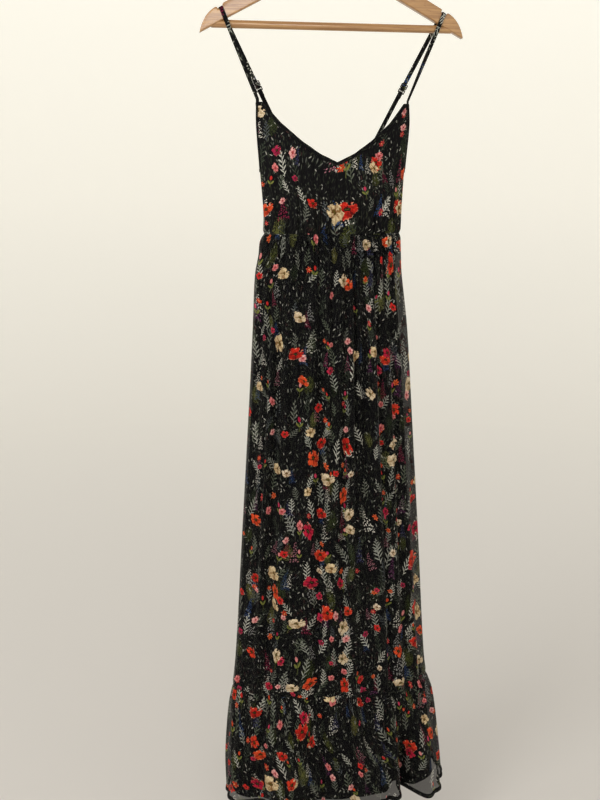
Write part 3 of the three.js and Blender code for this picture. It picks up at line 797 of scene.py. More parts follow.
@dataclass(frozen=True)
class Span:
    """Drops between which something grows, stays and fades, and what is left of it in the end."""

    start: float
    full: float
    fade: float
    end: float
    rest: float = 0.0

    def share(self, drop: np.ndarray) -> np.ndarray:
        """How much of it there is at a drop."""
        left = 1.0 - (1.0 - self.rest) * smoothstep(drop, self.fade, self.end)
        return smoothstep(drop, self.start, self.full) * left


@dataclass(frozen=True)
class Fold:
    """A fold down the cloth: its angle, half breadth, height out of the ring, and sideways lean."""

    at: float
    reach: float
    height: float
    lean: float = 0.0


@dataclass(frozen=True)
class Folds:
    """Folds listed one by one that share a span."""

    span: Span
    folds: tuple[Fold, ...]

    def height(self, angle: np.ndarray, drop: np.ndarray) -> np.ndarray:
        """Height of all of them at an angle and a drop."""
        down = (drop - self.span.start) / (self.span.end - self.span.start)
        total = np.zeros_like(angle * drop)
        for fold in self.folds:
            away = np.clip(np.abs(angle - fold.at - fold.lean * down) / fold.reach, 0.0, 1.0)
            total += fold.height * (0.5 + 0.5 * np.cos(np.pi * away))
        return total * self.span.share(drop)


@dataclass(frozen=True)
class Gathers:
    """Small uneven gathers: broad ridges and narrow valleys, pitched along the waist in millimetres.

    Attributes:
        span: Where they run.
        pitch: Mean distance between two ridges.
        height: From a valley up to a ridge.
        beat: Distance over which the pitch changes.
        wander: How much the pitch changes, in turns of a ridge.
        drift: Drop over which they stray sideways.
        offset: Where along the waist the pattern starts.
    """

    span: Span
    pitch: float
    height: float
    beat: float
    wander: float
    drift: float
    offset: float

    def relief(self, along: np.ndarray, drop: np.ndarray) -> np.ndarray:
        """Height of the gathers at a place along the waist and a drop."""
        turn = 2 * np.pi
        slow = np.sin(turn * (along + self.offset) / self.beat + drop / self.drift)
        quick = np.sin(turn * (along - self.offset) / (0.37 * self.beat) + 1.7)
        phase = turn * (along + self.offset) / self.pitch + self.wander * (slow + 0.6 * quick)
        ridge = (0.5 + 0.5 * np.sin(phase)) ** 0.7
        uneven = 0.7 + 0.3 * np.sin(turn * along / (1.7 * self.beat) + self.offset)
        return self.height * (ridge - 0.6) * uneven * self.span.share(drop)


@dataclass(frozen=True)
class Seam:
    """A level seam that pulls the cloth in and holds its gathers down."""

    drop: float
    depth: float
    breadth: float
    hold: float
    least: float = 0.3

    def pull(self, drop: np.ndarray) -> np.ndarray:
        """Height of the groove along the seam."""
        return -self.depth * np.exp(-((drop - self.drop) / self.breadth) ** 2)

    def free(self, drop: np.ndarray) -> np.ndarray:
        """Share of the gathers that is left near the seam."""
        return self.least + (1.0 - self.least) * smoothstep(np.abs(drop - self.drop), 0.0, self.hold)


@dataclass(frozen=True)
class DressForm:
    """The outside of the hanging cloth, all round and from the straps down to the hem."""

    sections: tuple[Section, ...]
    folds: tuple[Folds, ...] = ()
    gathers: tuple[Gathers, ...] = ()
    seams: tuple[Seam, ...] = ()
    waist: float = WAIST
    side_hold: float = 38.0
    side_free: float = 0.35

    def column(self, name: str, drop: np.ndarray) -> np.ndarray:
        """Reads one measure of the sections on a smooth curve through them.

        Args:
            name: The measure's name.
            drop: Drops to read it at.

        Returns:
            The measure at each drop.
        """
        rows = np.array([section.drop for section in self.sections])
        values = np.array([getattr(section, name) for section in self.sections])
        before = np.maximum(np.arange(len(rows)) - 1, 0)
        after = np.minimum(np.arange(len(rows)) + 1, len(rows) - 1)
        slopes = (values[after] - values[before]) / (rows[after] - rows[before])
        spot = np.clip(drop, rows[0], rows[-1])
        high = np.clip(np.searchsorted(rows, spot), 1, len(rows) - 1)
        low = high - 1
        span = rows[high] - rows[low]
        t = (spot - rows[low]) / span
        ease = t * t * (3 - 2 * t)
        pulls = span * t * (1 - t) * (slopes[low] * (1 - t) - slopes[high] * t)
        return values[low] + (values[high] - values[low]) * ease + pulls

    def ring(self, angle: np.ndarray, drop: np.ndarray) -> tuple[np.ndarray, np.ndarray]:
        """Places points on the plain rings.

        Args:
            angle: Angles round the dress.
            drop: Drops of the same shape.

        Returns:
            Points in millimetres, and level directions out of the ring.
        """
        sine, cosine = np.sin(np.radians(angle)), np.cos(np.radians(angle))
        width = np.where(sine < 0, self.column("left", drop), self.column("right", drop))
        depth = np.where(cosine > 0, self.column("front", drop), self.column("back", drop))
        points = np.stack([width * sine, -depth * cosine, TIP_Z - drop], axis=-1)
        outward = np.stack([sine / width, -cosine / depth, np.zeros_like(sine)], axis=-1)
        return points, outward / np.linalg.norm(outward, axis=-1, keepdims=True)

    def along_waist(self, angle: np.ndarray) -> np.ndarray:
        """Millimetres round the waist, from the left side seam, of each angle."""
        turn = np.linspace(Half.FRONT.value[0], Half.BACK.value[1], 1441)
        points, _ = self.ring(turn, np.full_like(turn, self.waist))
        steps = np.linalg.norm(np.diff(points, axis=0), axis=1)
        return np.interp(angle, turn, np.concatenate([[0.0], np.cumsum(steps)]))

    def surface(self, angle: np.ndarray, drop: np.ndarray) -> np.ndarray:
        """Places points on the cloth with all its folds, in millimetres."""
        points, outward = self.ring(angle, drop)
        along = self.along_waist(angle)
        from_side = (angle - Half.FRONT.value[0]) % 180.0
        to_side = np.minimum(from_side, 180.0 - from_side)
        free = self.side_free + (1.0 - self.side_free) * smoothstep(to_side, 0.0, self.side_hold)
        for seam in self.seams:
            free = free * seam.free(drop)
        height = sum((gather.relief(along, drop) for gather in self.gathers), np.zeros_like(drop)) * free
        height = height + sum((group.height(angle, drop) for group in self.folds), np.zeros_like(drop))
        height = height + sum((seam.pull(drop) for seam in self.seams), np.zeros_like(drop))
        return points + outward * height[..., None]


DRESS_FORM = DressForm(
    sections=(
        Section(114, 130, 131, 20, 16),
        Section(150, 130, 132, 31, 26),
        Section(225, 124.5, 126, 42, 36),
        Section(300, 119, 122, 42, 38),
        Section(330, 121, 121, 40, 37),
        Section(345, 126, 121.5, 43, 40),
        Section(365, 128, 122.5, 46, 42),
        Section(400, 134, 125, 50, 45),
        Section(500, 139, 137, 57, 51),
        Section(700, 151, 152, 66, 60),
        Section(900, 164, 167, 72, 66),
        Section(1100, 177, 181, 78, 72),
        Section(1162, 184, 189, 80, 74),
        Section(1200, 191, 202, 87, 80),
        Section(1300, 199, 217, 93, 86),
        Section(1380, 198, 226, 96, 89),
    ),
    folds=(
        Folds(Span(205, 318, 330, 352), (
            Fold(-62, 9, 3.5, 2), Fold(-41, 7, -3.5, -3), Fold(-22, 8, 3.0, 2), Fold(-4, 7, -3.0, 1),
            Fold(15, 8, 3.5, -3), Fold(33, 7, -3.5, 2), Fold(54, 9, 3.0, -2), Fold(71, 7, -3.0, 1),
            Fold(112, 9, 3.0, 2), Fold(133, 7, -3.5, -2), Fold(157, 9, 3.5, 3), Fold(181, 8, -3.0, -2),
            Fold(203, 8, 3.0, 2), Fold(226, 7, -3.5, -2), Fold(247, 9, 3.0, 2))),
        Folds(Span(345, 640, 1150, 1320), (
            Fold(-64, 10, -4), Fold(-46, 9, -10), Fold(-28, 8, -6), Fold(-12, 8, -9), Fold(3, 8, -8),
            Fold(18, 8, -10), Fold(36, 9, -8), Fold(51, 9, -9), Fold(68, 10, -6), Fold(117, 11, -8),
            Fold(138, 10, -10), Fold(158, 9, -7), Fold(176, 9, -11), Fold(194, 9, -8), Fold(215, 11, -10),
            Fold(241, 12, -4))),
        Folds(Span(1166, 1390, 1400, 1500), (
            Fold(-70, 14, 10), Fold(-48, 10, -18), Fold(-27, 12, 12), Fold(-7, 10, -16), Fold(14, 11, 10),
            Fold(39.5, 6.5, -46), Fold(47, 8, 26), Fold(57, 10, 24), Fold(112, 13, 12), Fold(132, 10, -18),
            Fold(153, 12, 11), Fold(174, 11, -20), Fold(196, 12, 12), Fold(217, 10, -17), Fold(240, 14, 12))),
    ),
    gathers=(
        Gathers(Span(140, 215, 290, 335), 13.0, 2.4, 83, 0.9, 300, 17),
        Gathers(Span(258, 316, 345, 480), 9.4, 4.6, 71, 0.9, 400, 3),
        Gathers(Span(285, 322, 340, 410), 5.6, 2.6, 43, 0.8, 400, 11),
        Gathers(Span(335, 420, 620, 1160, 0.55), 19.0, 9.0, 117, 1.1, 260, 40),
        Gathers(Span(1146, 1166, 1190, 1270), 5.8, 3.4, 47, 0.9, 300, 7),
        Gathers(Span(1166, 1230, 1390, 1500), 14.5, 7.0, 93, 1.0, 240, 21),
    ),
    seams=(Seam(330, 2.2, 4.0, 12), Seam(1162, 1.8, 4.0, 10)),
)
LINING_FORM = DressForm(
    sections=(
        Section(330, 118.4, 118.4, 37.4, 34.4),
        Section(345, 120.4, 117.4, 38, 35),
        Section(400, 130, 112, 39, 35),
        Section(500, 135.5, 122, 43, 38),
        Section(700, 147.5, 137, 48, 43),
        Section(900, 160.5, 152, 53, 48),
        Section(1100, 173.5, 168, 58, 52),
        Section(1200, 185, 188, 64, 55),
        Section(1376, 190, 207, 72, 62),
    ),
    folds=(
        Folds(Span(1166, 1390, 1400, 1500), (
            Fold(-48, 12, -9), Fold(-7, 12, -6), Fold(39, 12, -28), Fold(132, 12, -8), Fold(174, 13, -10),
            Fold(217, 12, -8))),
    ),
    gathers=(Gathers(Span(334, 420, 1300, 1500), 31.0, 2.0, 160, 0.8, 320, 5),),
)


@dataclass(frozen=True)
class EdgePoint:
    """A corner of a cut edge: distance from the middle of the dress, and drop."""

    x: float
    drop: float


@dataclass(frozen=True)
class CutEdge:
    """A cut edge of the bodice, the same to both sides of the middle."""

    corners: tuple[EdgePoint, ...]
    half_width: float = 130.5

    def __call__(self, angle: np.ndarray) -> np.ndarray:
        """Drop of the edge at each angle."""
        x = np.abs(self.half_width * np.sin(np.radians(angle)))
        return np.interp(x, [corner.x for corner in self.corners], [corner.drop for corner in self.corners])


def level(drop: float) -> Edge:
    """An edge at one drop all round."""
    return lambda angle: np.full_like(angle, drop)


@dataclass
class ClothPanel:
    """One cut panel of the dress between its side seams.

    Attributes:
        name: The piece's name.
        half: Which half of the dress it covers.
        form: The surface that it hangs on.
        top: Its upper edge.
        bottom: Its lower edge.
        columns: Facets across.
        rows: Facets down.
        cut: Width of the flat cloth along its upper and lower edge in millimetres.
        crowd: How much closer together its upper rows are.
        print_start: Where its middle lies along the printed cloth in millimetres.
    """

    name: str
    half: Half
    form: DressForm
    top: Edge
    bottom: Edge
    columns: int
    rows: int
    cut: tuple[float, float]
    crowd: float = 1.0
    print_start: float = 0.0

    def angles(self) -> np.ndarray:
        """Angles of the columns, spaced evenly along the cloth."""
        fine = np.linspace(*self.half.value, 721)
        middle = np.full_like(fine, 0.5 * (self.top(fine).min() + self.bottom(fine).max()))
        points, _ = self.form.ring(fine, middle)
        lengths = np.concatenate([[0.0], np.cumsum(np.linalg.norm(np.diff(points, axis=0), axis=1))])
        return np.interp(np.linspace(0.0, lengths[-1], self.columns + 1), lengths, fine)

    def build(self) -> bpy.types.Object:
        """Makes the panel as one sheet with its cloth map."""
        angle = np.broadcast_to(self.angles(), (self.rows + 1, self.columns + 1))
        down = np.linspace(0.0, 1.0, self.rows + 1)[:, None] ** self.crowd
        drop = self.top(angle) + (self.bottom(angle) - self.top(angle)) * down
        points = self.form.surface(angle, drop)
        steps = np.linalg.norm(np.diff(points, axis=1), axis=2)
        across = np.concatenate([np.zeros((self.rows + 1, 1)), np.cumsum(steps, axis=1)], axis=1)
        share = across / across[:, -1:] - 0.5
        width = self.cut[0] + (self.cut[1] - self.cut[0]) * down
        cloth = np.stack([share * width + self.print_start, -drop], axis=-1)
        faces = grid_faces(self.rows + 1, self.columns + 1)
        return mesh_piece(self.name, points.reshape(-1, 3) * MM, faces, cloth.reshape(-1, 2) * MM)


BOUND_EDGE = np.array([
    (0.9, 5.6), (1.3, 4.6), (1.35, 1.2), (0.8, -0.5), (-0.8, -0.5), (-1.35, 1.2), (-1.3, 4.6), (-0.9, 5.6)])
ROLLED_HEM = np.array([
    (0.8, 8.0), (1.7, 6.4), (2.1, 3.6), (1.7, 0.9), (0.6, -0.3), (-0.6, -0.3), (-1.7, 0.9), (-2.1, 3.6),
    (-1.7, 6.4), (-0.8, 8.0)])


def bound(name: str, form: DressForm, angle: np.ndarray, drop: np.ndarray, into: tuple[float, float],
          profile: np.ndarray) -> bpy.types.Object:
    """Folds a strip of cloth over an edge.

    Args:
        name: The piece's name.
        form: The surface that the panel hangs on.
        angle: Angles along the edge.
        drop: Drops along the edge.
        into: Small step of angle and drop from the edge into the panel.
        profile: Section of the folded strip, out of the cloth and into the panel.

    Returns:
        The strip.
    """
    path = form.surface(angle, drop)
    inside = form.surface(angle + into[0], drop + into[1])
    along = np.gradient(path, axis=0)
    along /= np.linalg.norm(along, axis=1, keepdims=True)
    inward = inside - path
    inward -= along * np.sum(inward * along, axis=1, keepdims=True)
    inward /= np.linalg.norm(inward, axis=1, keepdims=True)
    outward = np.cross(inward, along)
    return swept(name, path, outward, inward, profile)


@dataclass
class Bodice:
    """Lined bodice panels with their bound neck, back and armhole edges."""

    neck: CutEdge = CutEdge((EdgePoint(0, 212), EdgePoint(30, 198), EdgePoint(60, 177), EdgePoint(92, 148),
                             EdgePoint(121, 114), EdgePoint(131, 114)))
    back: CutEdge = CutEdge((EdgePoint(0, 246), EdgePoint(54, 235), EdgePoint(90, 236), EdgePoint(126, 222)))
    waist: float = WAIST
    apex: float = 114.0
    underarm: float = 222.0
    columns: int = 220
    rows: int = 90
    cut: tuple[float, float] = (300.0, 320.0)

    def build(self) -> list[bpy.types.Object]:
        """Makes the panels and their bindings, dressed."""
        made = []
        for half, top, binding, start in ((Half.FRONT, self.neck, "neck_binding", 0.0),
                                          (Half.BACK, self.back, "back_binding", BACK_PRINT_START)):
            node = f"bodice_{half.name.lower()}"
            pattern = ClothPanel(f"{node}_cloth", half, DRESS_FORM, top, level(self.waist), self.columns,
                                 self.rows, self.cut, 1.0, start)
            panel = pattern.build()
            angle = pattern.angles()
            strips = [(binding, bound(f"{binding}_strip", DRESS_FORM, angle, top(angle), (0.0, 3.0),
                                      BOUND_EDGE))]
            if half is Half.FRONT:
                strips += self.armholes()
            LINED.dress(panel)
            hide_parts(node)
            for name, strip in strips:
                TRIM.dress(strip)
                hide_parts(name)
            pieces = [strip for _, strip in strips]
            lengths = self.waist - top(angle)
            made += [panel, *pieces]
        return made

    def armholes(self) -> list[tuple[str, bpy.types.Object]]:
        """Makes the strips down the two sides of the front."""
        drop = np.linspace(self.apex, self.underarm, 46)
        strips = []
        for side in Side:
            angle = np.full_like(drop, 90.0 * side.value)
            name = f"armhole_binding_{side.name.lower()}"
            strips.append((name, bound(f"{name}_strip", DRESS_FORM, angle, drop, (-4.0 * side.value, 0.0),
                                       BOUND_EDGE)))
        return strips


@dataclass
class Skirt:
    """Gathered skirt over its lining, with the ruffle and its rolled hem."""

    waist: float = WAIST
    ruffle: float = 1162.0
    hem: float = 1380.0
    lining_hem: float = 1376.0
    skirt_cut: tuple[float, float] = (430.0, 490.0)
    lining_cut: tuple[float, float] = (340.0, 450.0)
    ruffle_cut: tuple[float, float] = (640.0, 680.0)
    skirt_grid: tuple[int, int] = (330, 250)
    lining_grid: tuple[int, int] = (160, 110)
    ruffle_grid: tuple[int, int] = (380, 110)

    def build(self) -> list[bpy.types.Object]:
        """Makes the panels of both halves, dressed."""
        made = []
        for half in Half:
            name = half.name.lower()
            start = 0.0 if half is Half.FRONT else BACK_PRINT_START
            skirt = ClothPanel(f"skirt_{name}_cloth", half, DRESS_FORM, level(self.waist), level(self.ruffle),
                               *self.skirt_grid, self.skirt_cut, 1.25, start).build()
            lining = ClothPanel(f"lining_{name}_cloth", half, LINING_FORM, level(self.waist + 2),
                                level(self.lining_hem), *self.lining_grid, self.lining_cut).build()
            tier = ClothPanel(f"ruffle_{name}_cloth", half, DRESS_FORM, level(self.ruffle), level(self.hem),
                              *self.ruffle_grid, self.ruffle_cut, 1.2, start + RUFFLE_PRINT_SHIFT)
            ruffle = tier.build()
            angle = tier.angles()
            hem = bound(f"hem_{name}_roll", DRESS_FORM, angle, np.full_like(angle, self.hem), (0.0, -3.0),
                        ROLLED_HEM)
            for piece, finish, node in ((skirt, SHEER, "skirt"), (lining, LINING, "lining"),
                                        (ruffle, SHEER, "ruffle"), (hem, TRIM, "hem")):
                finish.dress(piece)
                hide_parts(f"{node}_{name}")
            made += [skirt, lining, ruffle, hem]
        return made


def start_piece(name: str, primitive: Callable, **settings: object) -> bpy.types.Object:
    """Deselects everything and adds a primitive as the start of a piece.

    Args:
        name: The piece's name.
        primitive: The operator that adds the primitive.
        settings: The operator's settings.

    Returns:
        The new object, active and selected.
    """
    bpy.ops.object.select_all(action="DESELECT")
    primitive(**settings)
    piece = bpy.context.active_object
    piece.name = piece.data.name = name
    return piece


def round_edges(piece: bpy.types.Object, width: float, segments: int, sharper: float) -> None:
    """Rounds a piece's sharp edges and shades it smooth.

    Args:
        piece: The piece, which becomes the active one.
        width: Width of the rounding in millimetres.
        segments: Steps across the rounding.
        sharper: Least angle of an edge that is rounded, in degrees.
    """
    bpy.ops.object.select_all(action="DESELECT")
    piece.select_set(True)
    bpy.context.view_layer.objects.active = piece
    bevel = piece.modifiers.new("round", "BEVEL")
    bevel.width = width * MM
    bevel.segments = segments
    bevel.limit_method = "ANGLE"
    bevel.angle_limit = math.radians(sharper)
    bevel.use_clamp_overlap = False
    bpy.ops.object.modifier_apply(modifier=bevel.name)
    bpy.ops.object.shade_smooth_by_angle(angle=math.radians(40))


@dataclass
class Hanger:
    """Wooden arms with strap notches, a round bar between their ends and a wire hook."""

    tip_x: float = 222.5
    tip_low: float = -6.5
    thickness: float = 15.0
    lower_slope: float = 27.5
    upper_slope: float = 28.0
    notch_x: float = 189.5
    notch_height: float = 37.0
    notch_width: float = 10.0
    notch_depth: float = 5.0
    nose: tuple[float, float] = (216.0, 24.0)
    crown_half: float = 22.0
    crown_lift: float = 2.0
    crotch_half: float = 25.0
    bar_radius: float = 6.5
    bar_height: float = 8.5
    bar_half: float = 203.0
    wire_radius: float = 1.9
    hook_radius: float = 24.0
    stem_depth: float = 15.0

    def upper(self, x: float) -> float:
        """Height of the arms' upper edge over their tips."""
        return self.notch_height + (self.notch_x - x) * math.tan(math.radians(self.upper_slope))

    def lower(self, x: float) -> float:
        """Height of the arms' lower edge over their tips."""
        return self.tip_low + (self.tip_x - x) * math.tan(math.radians(self.lower_slope))

    def outline(self) -> list[tuple[float, float]]:
        """Outline of the arms, all round, as x and height."""
        slope = math.radians(self.upper_slope)
        notch = [(self.notch_x + along * math.cos(slope) - down * math.sin(slope),
                  self.notch_height - along * math.sin(slope) - down * math.cos(slope))
                 for along, down in ((-self.notch_width / 2, 0), (-self.notch_width / 2, self.notch_depth),
                                     (self.notch_width / 2, self.notch_depth), (self.notch_width / 2, 0))]
        curve = [((1 - t) ** 2 * start[0] + 2 * t * (1 - t) * bend[0] + t * t * end[0],
                  (1 - t) ** 2 * start[1] + 2 * t * (1 - t) * bend[1] + t * t * end[1])
                 for start, bend, end, steps in (
                     ((0, 0.5 * (self.upper(0) + self.crown_lift + self.upper(self.crown_half))),
                      (self.crown_half / 2, self.upper(self.crown_half / 2) + self.crown_lift / 2),
                      (self.crown_half, self.upper(self.crown_half)), 5),
                     (notch[3], self.nose, (self.tip_x, self.tip_low), 9),
                     ((self.crotch_half, self.lower(self.crotch_half)),
                      (self.crotch_half / 2, self.lower(self.crotch_half / 2)),
                      (0, 0.5 * (self.lower(0) + self.lower(self.crotch_half))), 5))
                 for t in np.linspace(0, 1, steps)]
        half = curve[:5] + notch[:3] + curve[5:]
        return half + [(-x, height) for x, height in half[-2:0:-1]]

    def build(self) -> list[bpy.types.Object]:
        """Makes the arms, bar and hook, dressed."""
        made = [(self.arms(), BEECH, "hanger_body"), (self.bar(), BEECH, "hanger_bar"),
                (self.hook(), STEEL, "hanger_hook")]
        for piece, finish, node in made:
            finish.dress(piece)
            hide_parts(node)
        return [piece for piece, _, _ in made]

    def arms(self) -> bpy.types.Object:
        """Cuts the arms from one board and rounds their edges."""
        outline = self.outline()
        piece = start_piece("hanger_arms", bpy.ops.mesh.primitive_circle_add, vertices=len(outline),
                            radius=0.1, fill_type="NGON")
        for vertex, (x, height) in zip(piece.data.vertices, outline):
            vertex.co = Vector((x, -self.thickness / 2, TIP_Z + height)) * MM
        bpy.ops.object.mode_set(mode="EDIT")
        bpy.ops.mesh.select_all(action="SELECT")
        bpy.ops.mesh.extrude_region_move(TRANSFORM_OT_translate={"value": (0, self.thickness * MM, 0)})
        bpy.ops.mesh.select_all(action="SELECT")
        bpy.ops.mesh.normals_make_consistent(inside=False)
        bpy.ops.object.mode_set(mode="OBJECT")
        round_edges(piece, 2.4, 4, 50)
        return piece

    def bar(self) -> bpy.types.Object:
        """Turns the round bar and eases its ends."""
        piece = start_piece("hanger_trouser_bar", bpy.ops.mesh.primitive_cylinder_add, vertices=48,
                            radius=self.bar_radius * MM, depth=2 * self.bar_half * MM,
                            location=(0, 0, (TIP_Z + self.bar_height) * MM), rotation=(0, math.pi / 2, 0))
        bpy.ops.object.transform_apply(location=True, rotation=True, scale=True)
        round_edges(piece, 1.2, 3, 50)
        return piece

    def hook(self) -> bpy.types.Object:
        """Draws the wire up from the crown and bends it into a hook."""
        crown = TIP_Z + 0.5 * (self.upper(self.crown_half) + self.upper(0) + self.crown_lift)
        centre = self.wire_radius - self.hook_radius
        sway = math.radians(60)
        bend_z = centre - self.hook_radius * 2 * math.sin(sway)
        foot = crown - self.stem_depth
        piece = start_piece("hanger_wire_hook", bpy.ops.mesh.primitive_circle_add, vertices=20,
                            radius=self.wire_radius * MM, location=(0, 0, foot * MM))
        bpy.ops.object.transform_apply(location=True, rotation=True, scale=True)
        bpy.ops.object.mode_set(mode="EDIT")
        bpy.ops.mesh.select_all(action="SELECT")
        bpy.ops.mesh.extrude_region_move(TRANSFORM_OT_translate={"value": (0, 0, (bend_z - foot) * MM)})
        bpy.ops.mesh.spin(steps=10, angle=sway, center=(self.hook_radius * MM, 0, bend_z * MM),
                          axis=(0, -1, 0))
        bpy.ops.mesh.spin(steps=40, angle=math.radians(255), center=(0, 0, centre * MM), axis=(0, 1, 0))
        bpy.ops.mesh.select_all(action="SELECT")
        bpy.ops.mesh.remove_doubles(threshold=0.01 * MM)
        bpy.ops.mesh.fill_holes(sides=0)
        bpy.ops.mesh.select_all(action="SELECT")
        bpy.ops.mesh.normals_make_consistent(inside=False)
        bpy.ops.object.mode_set(mode="OBJECT")
        round_edges(piece, 0.7, 3, 60)
        return piece


@dataclass
class Shoulder:
    """One strap over the hanger, its slider and ring, and the short tab down to the back."""

    side: Side
    hanger: Hanger
    bodice: Bodice
    strap_width: float = 7.2
    fold_allowance: float = 3.3
    strap_thickness: float = 1.5
    clear: float = 0.3
    flat_run: float = 26.0
    tuck: float = 5.0
    strap_end_x: float = 129.5
    back_strap_x: float = 54.0
    hardware_drop: float = 91.0
    hardware_bar: float = 1.6
    ring_height: float = 7.8
    slider_rise: float = 9.0
    loop_radius: float = 2.1
    folded_end: float = 13.0

    def sewn(self, angle: float, drop: float) -> list[np.ndarray]:
        """Points where a strap goes down inside the edge of a panel, from the lowest up."""
        edge = DRESS_FORM.surface(np.array([angle]), np.array([drop]))[0]
        _, outward = DRESS_FORM.ring(np.array([angle]), np.array([drop]))
        inside = edge - 1.0 * outward[0]
        return [inside + np.array([0.0, 0.0, rise]) for rise in (-self.tuck, 1.0, 5.0)]

    def strip(self, name: str, path: list[np.ndarray], across: list[np.ndarray]) -> bpy.types.Object:
        """Sews a flat tube of cloth along a path.

        Args:
            name: The piece's name.
            path: Points along its middle.
            across: Direction across it at each of them.

        Returns:
            The strip.
        """
        stations = np.hstack([np.array(path), np.array(across)])
        places = []
        for start, end in zip(stations[:-1], stations[1:]):
            steps = max(1, int(np.linalg.norm(end[:3] - start[:3]) / 3.0))
            places += [start + (end - start) * step / steps for step in range(steps)]
        route = np.array(places + [stations[-1]])
        points, turned = route[:, :3], route[:, 3:]
        along = np.gradient(points, axis=0)
        along /= np.linalg.norm(along, axis=1, keepdims=True)
        sides = turned - along * np.sum(along * turned, axis=1, keepdims=True)
        sides /= np.linalg.norm(sides, axis=1, keepdims=True)
        faces = np.cross(along, sides)
        turn = np.linspace(0, 2 * np.pi, 16, endpoint=False)
        half_width, half_thickness = self.strap_width / 2, self.strap_thickness / 2
        profile = np.stack([half_thickness * np.sign(np.sin(turn)) * np.abs(np.sin(turn)) ** 0.5,
                            half_width * np.sign(np.cos(turn)) * np.abs(np.cos(turn)) ** 0.3], axis=1)
        piece = swept(name, points, faces, sides, profile)
        STRAP.dress(piece)
        return piece

    def build(self) -> list[bpy.types.Object]:
        """Makes the strap and its tab and finishes the hardware."""
        sign = self.side.value
        name = self.side.name.lower()
        slope = math.radians(self.hanger.upper_slope)
        arm_up = np.array([sign * math.sin(slope), 0.0, math.cos(slope)])
        arm_along = np.array([sign * math.cos(slope), 0.0, -math.sin(slope)])
        seat = np.array([sign * self.hanger.notch_x, 0.0, TIP_Z + self.hanger.notch_height])
        seat = seat - arm_up * self.hanger.notch_depth
        lift = self.clear + self.strap_thickness / 2
        face = self.hanger.thickness / 2
        turns = np.radians([0, 22.5, 45, 67.5, 90])
        near = [(-face - lift * math.cos(turn), lift * math.sin(turn)) for turn in turns]
        run = [(-face - lift, -self.flat_run), *near]
        over = [seat + arm_up * rise + np.array([0.0, y, 0.0])
                for y, rise in run + [(-y, rise) for y, rise in run[::-1]]]

        front_angle = sign * math.degrees(math.asin(self.strap_end_x / self.bodice.neck.half_width))
        front = self.sewn(front_angle, self.bodice.apex)
        fall = (front[-1] - over[1]) * np.array([1.0, 0.0, 1.0])
        over[0] = over[1] + fall / np.linalg.norm(fall) * self.flat_run
        back_angle = 180 - sign * math.degrees(math.asin(self.back_strap_x / self.bodice.back.half_width))
        back = self.sewn(back_angle, float(self.bodice.back(np.array([back_angle]))[0]))

        up = over[-1] - back[-1]
        centre = back[-1] + up * ((TIP_Z - self.hardware_drop - back[-1][2]) / up[2])
        up = up / np.linalg.norm(up)
        outward = np.array([0.0, 1.0, 0.0]) - up * up[1]
        outward /= np.linalg.norm(outward)
        across = np.cross(up, outward)
        loop_rise = self.ring_height / 2 - self.hardware_bar / 2
        loop = [(self.loop_radius * math.cos(turn), loop_rise - self.loop_radius * math.sin(turn))
                for turn in np.radians(np.linspace(0, 180, 9))]
        ends = [(self.loop_radius, 2 * self.folded_end), *loop, (-self.loop_radius, self.slider_rise)]
        tail = [centre + outward * out + up * rise for out, rise in ends]
        loop_end = [(-self.loop_radius, -self.folded_end),
                    *[(out, -rise) for out, rise in loop[::-1]], (self.loop_radius, -2 * self.folded_end)]
        head = [centre + outward * out + up * rise for out, rise in loop_end]
        beside = np.array([front_angle - 2, front_angle + 2])
        near_edge = DRESS_FORM.ring(beside, np.full(2, self.bodice.apex))[0]
        edge = sign * (near_edge[1] - near_edge[0])
        edge /= np.linalg.norm(edge)
        flat = -sign * across
        turns = [edge] * len(front) + [arm_along] * len(over) + [flat] * len(tail)
        strap = self.strip(f"strap_{name}_ribbon", [*front, *over, *tail], turns)
        tab_path = [*head, *back[::-1]]
        tab = self.strip(f"strap_tab_{name}_ribbon", tab_path, [flat] * len(tab_path))
        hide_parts(f"strap_{name}")
        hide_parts(f"strap_tab_{name}")
        return [strap, tab, *[self.hardware(f"{kind}_{name}") for kind in ("ring", "slider")]]

    def hardware(self, node: str) -> bpy.types.Object:
        """Takes the stamped plate's form from its solid and eases its edges."""
        piece = bpy.data.objects.new(f"{node}_plate", bpy.data.objects[node].data.copy())
        bpy.context.scene.collection.objects.link(piece)
        bpy.ops.object.select_all(action="DESELECT")
        piece.select_set(True)
        bpy.context.view_layer.objects.active = piece
        bpy.ops.object.mode_set(mode="EDIT")
        bpy.ops.mesh.select_all(action="SELECT")
        bpy.ops.mesh.remove_doubles(threshold=0.01 * MM)
        bpy.ops.object.mode_set(mode="OBJECT")
        round_edges(piece, 0.35, 2, 50)
        ENAMEL.dress(piece)
        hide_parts(node)
        return piece


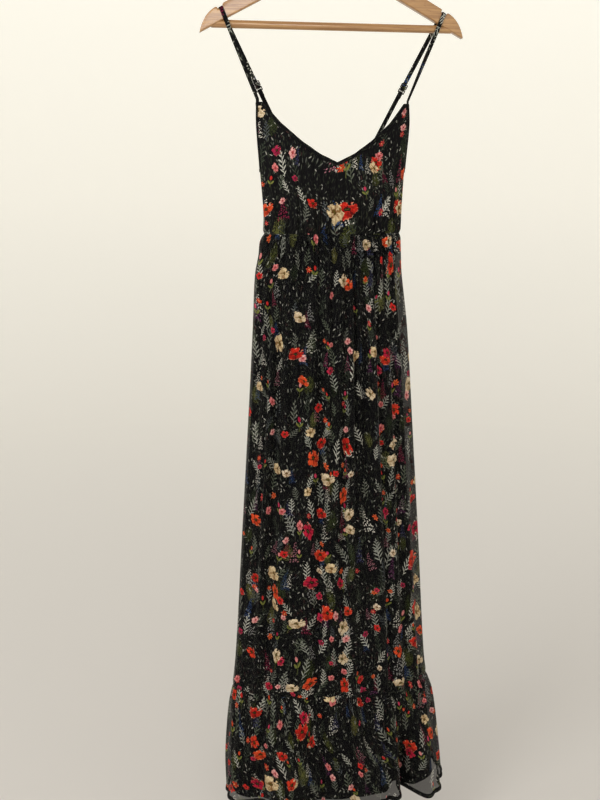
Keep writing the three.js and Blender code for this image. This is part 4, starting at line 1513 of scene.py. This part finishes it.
@dataclass
class Studio:
    """Plain pale floor that sweeps up all round, soft lights and the camera."""

    floor_drop: float = 1480.0
    floor_radius: float = 3600.0
    sweep_radius: float = 1200.0
    wall_height: float = 2600.0
    camera_place: tuple[float, float, float] = (-0.3367, -1.7201, -0.4568)
    camera_pitch: float = 11.86
    camera_yaw: float = 9.26
    camera_lens: float = 45.0

    def build(self) -> None:
        """Makes the stage, the lights and the camera."""
        floor = (TIP_Z - self.floor_drop) * MM
        turns = np.radians(np.linspace(0, 90, 13))
        profile = [(0.001, floor)]
        profile += [((self.floor_radius + self.sweep_radius * math.sin(turn)) * MM,
                     floor + self.sweep_radius * (1 - math.cos(turn)) * MM) for turn in turns]
        profile.append((profile[-1][0], floor + (self.sweep_radius + self.wall_height) * MM))
        around = np.radians(np.linspace(0, 360, 97)[:-1])
        points = np.array([[(radius * math.cos(turn), radius * math.sin(turn), height) for turn in around]
                           for radius, height in profile])
        backdrop = mesh_piece("studio_backdrop", points.reshape(-1, 3),
                              [face[::-1] for face in grid_faces(len(profile), len(around), closed=True)])
        PAPER.dress(backdrop)
        self.light("key_light", (-1.7, -1.3, 0.9), 1.0, 31.0)
        self.light("front_light", (0.0, -2.5, 0.3), 0.9, 11.0)
        self.light("back_light", (0.6, 2.4, 1.4), 2.0, 12.0)
        world = bpy.data.worlds.new("studio_world")
        bpy.context.scene.world = world
        world.use_nodes = True
        world.node_tree.nodes["Background"].inputs["Color"].default_value = linear("#fffdf8")
        world.node_tree.nodes["Background"].inputs["Strength"].default_value = 0.36
        lens = bpy.data.cameras.new("photo_camera")
        lens.lens = self.camera_lens
        camera = bpy.data.objects.new("photo_camera", lens)
        camera.location = self.camera_place
        camera.rotation_euler = (math.radians(90 - self.camera_pitch), 0, -math.radians(self.camera_yaw))
        bpy.context.scene.collection.objects.link(camera)
        bpy.context.scene.camera = camera
        bpy.context.scene.view_settings.view_transform = "Standard"

    def light(self, name: str, place: tuple[float, float, float], size: float, power: float) -> None:
        """Adds a square soft light that faces the middle of the dress."""
        lamp = bpy.data.lights.new(name, "AREA")
        lamp.size = size
        lamp.energy = power
        holder = bpy.data.objects.new(name, lamp)
        holder.location = place
        towards = Vector((0, 0, -0.7)) - Vector(place)
        holder.rotation_euler = towards.to_track_quat("-Z", "Y").to_euler()
        bpy.context.scene.collection.objects.link(holder)


def main() -> None:
    """Builds the dress and its hanger in order, and reports each piece."""
    logging.basicConfig(level=logging.INFO, format="%(message)s")
    Studio().build()
    hanger = Hanger()
    bodice = Bodice()
    builders = [hanger, bodice, Skirt(), *[Shoulder(side, hanger, bodice) for side in Side]]
    for builder in builders:
        for piece in builder.build():
            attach(piece, BODY)
            LOG.info("%s: %s with %d faces", type(builder).__name__, piece.name, len(piece.data.polygons))


if __name__ == "__main__":
    main()
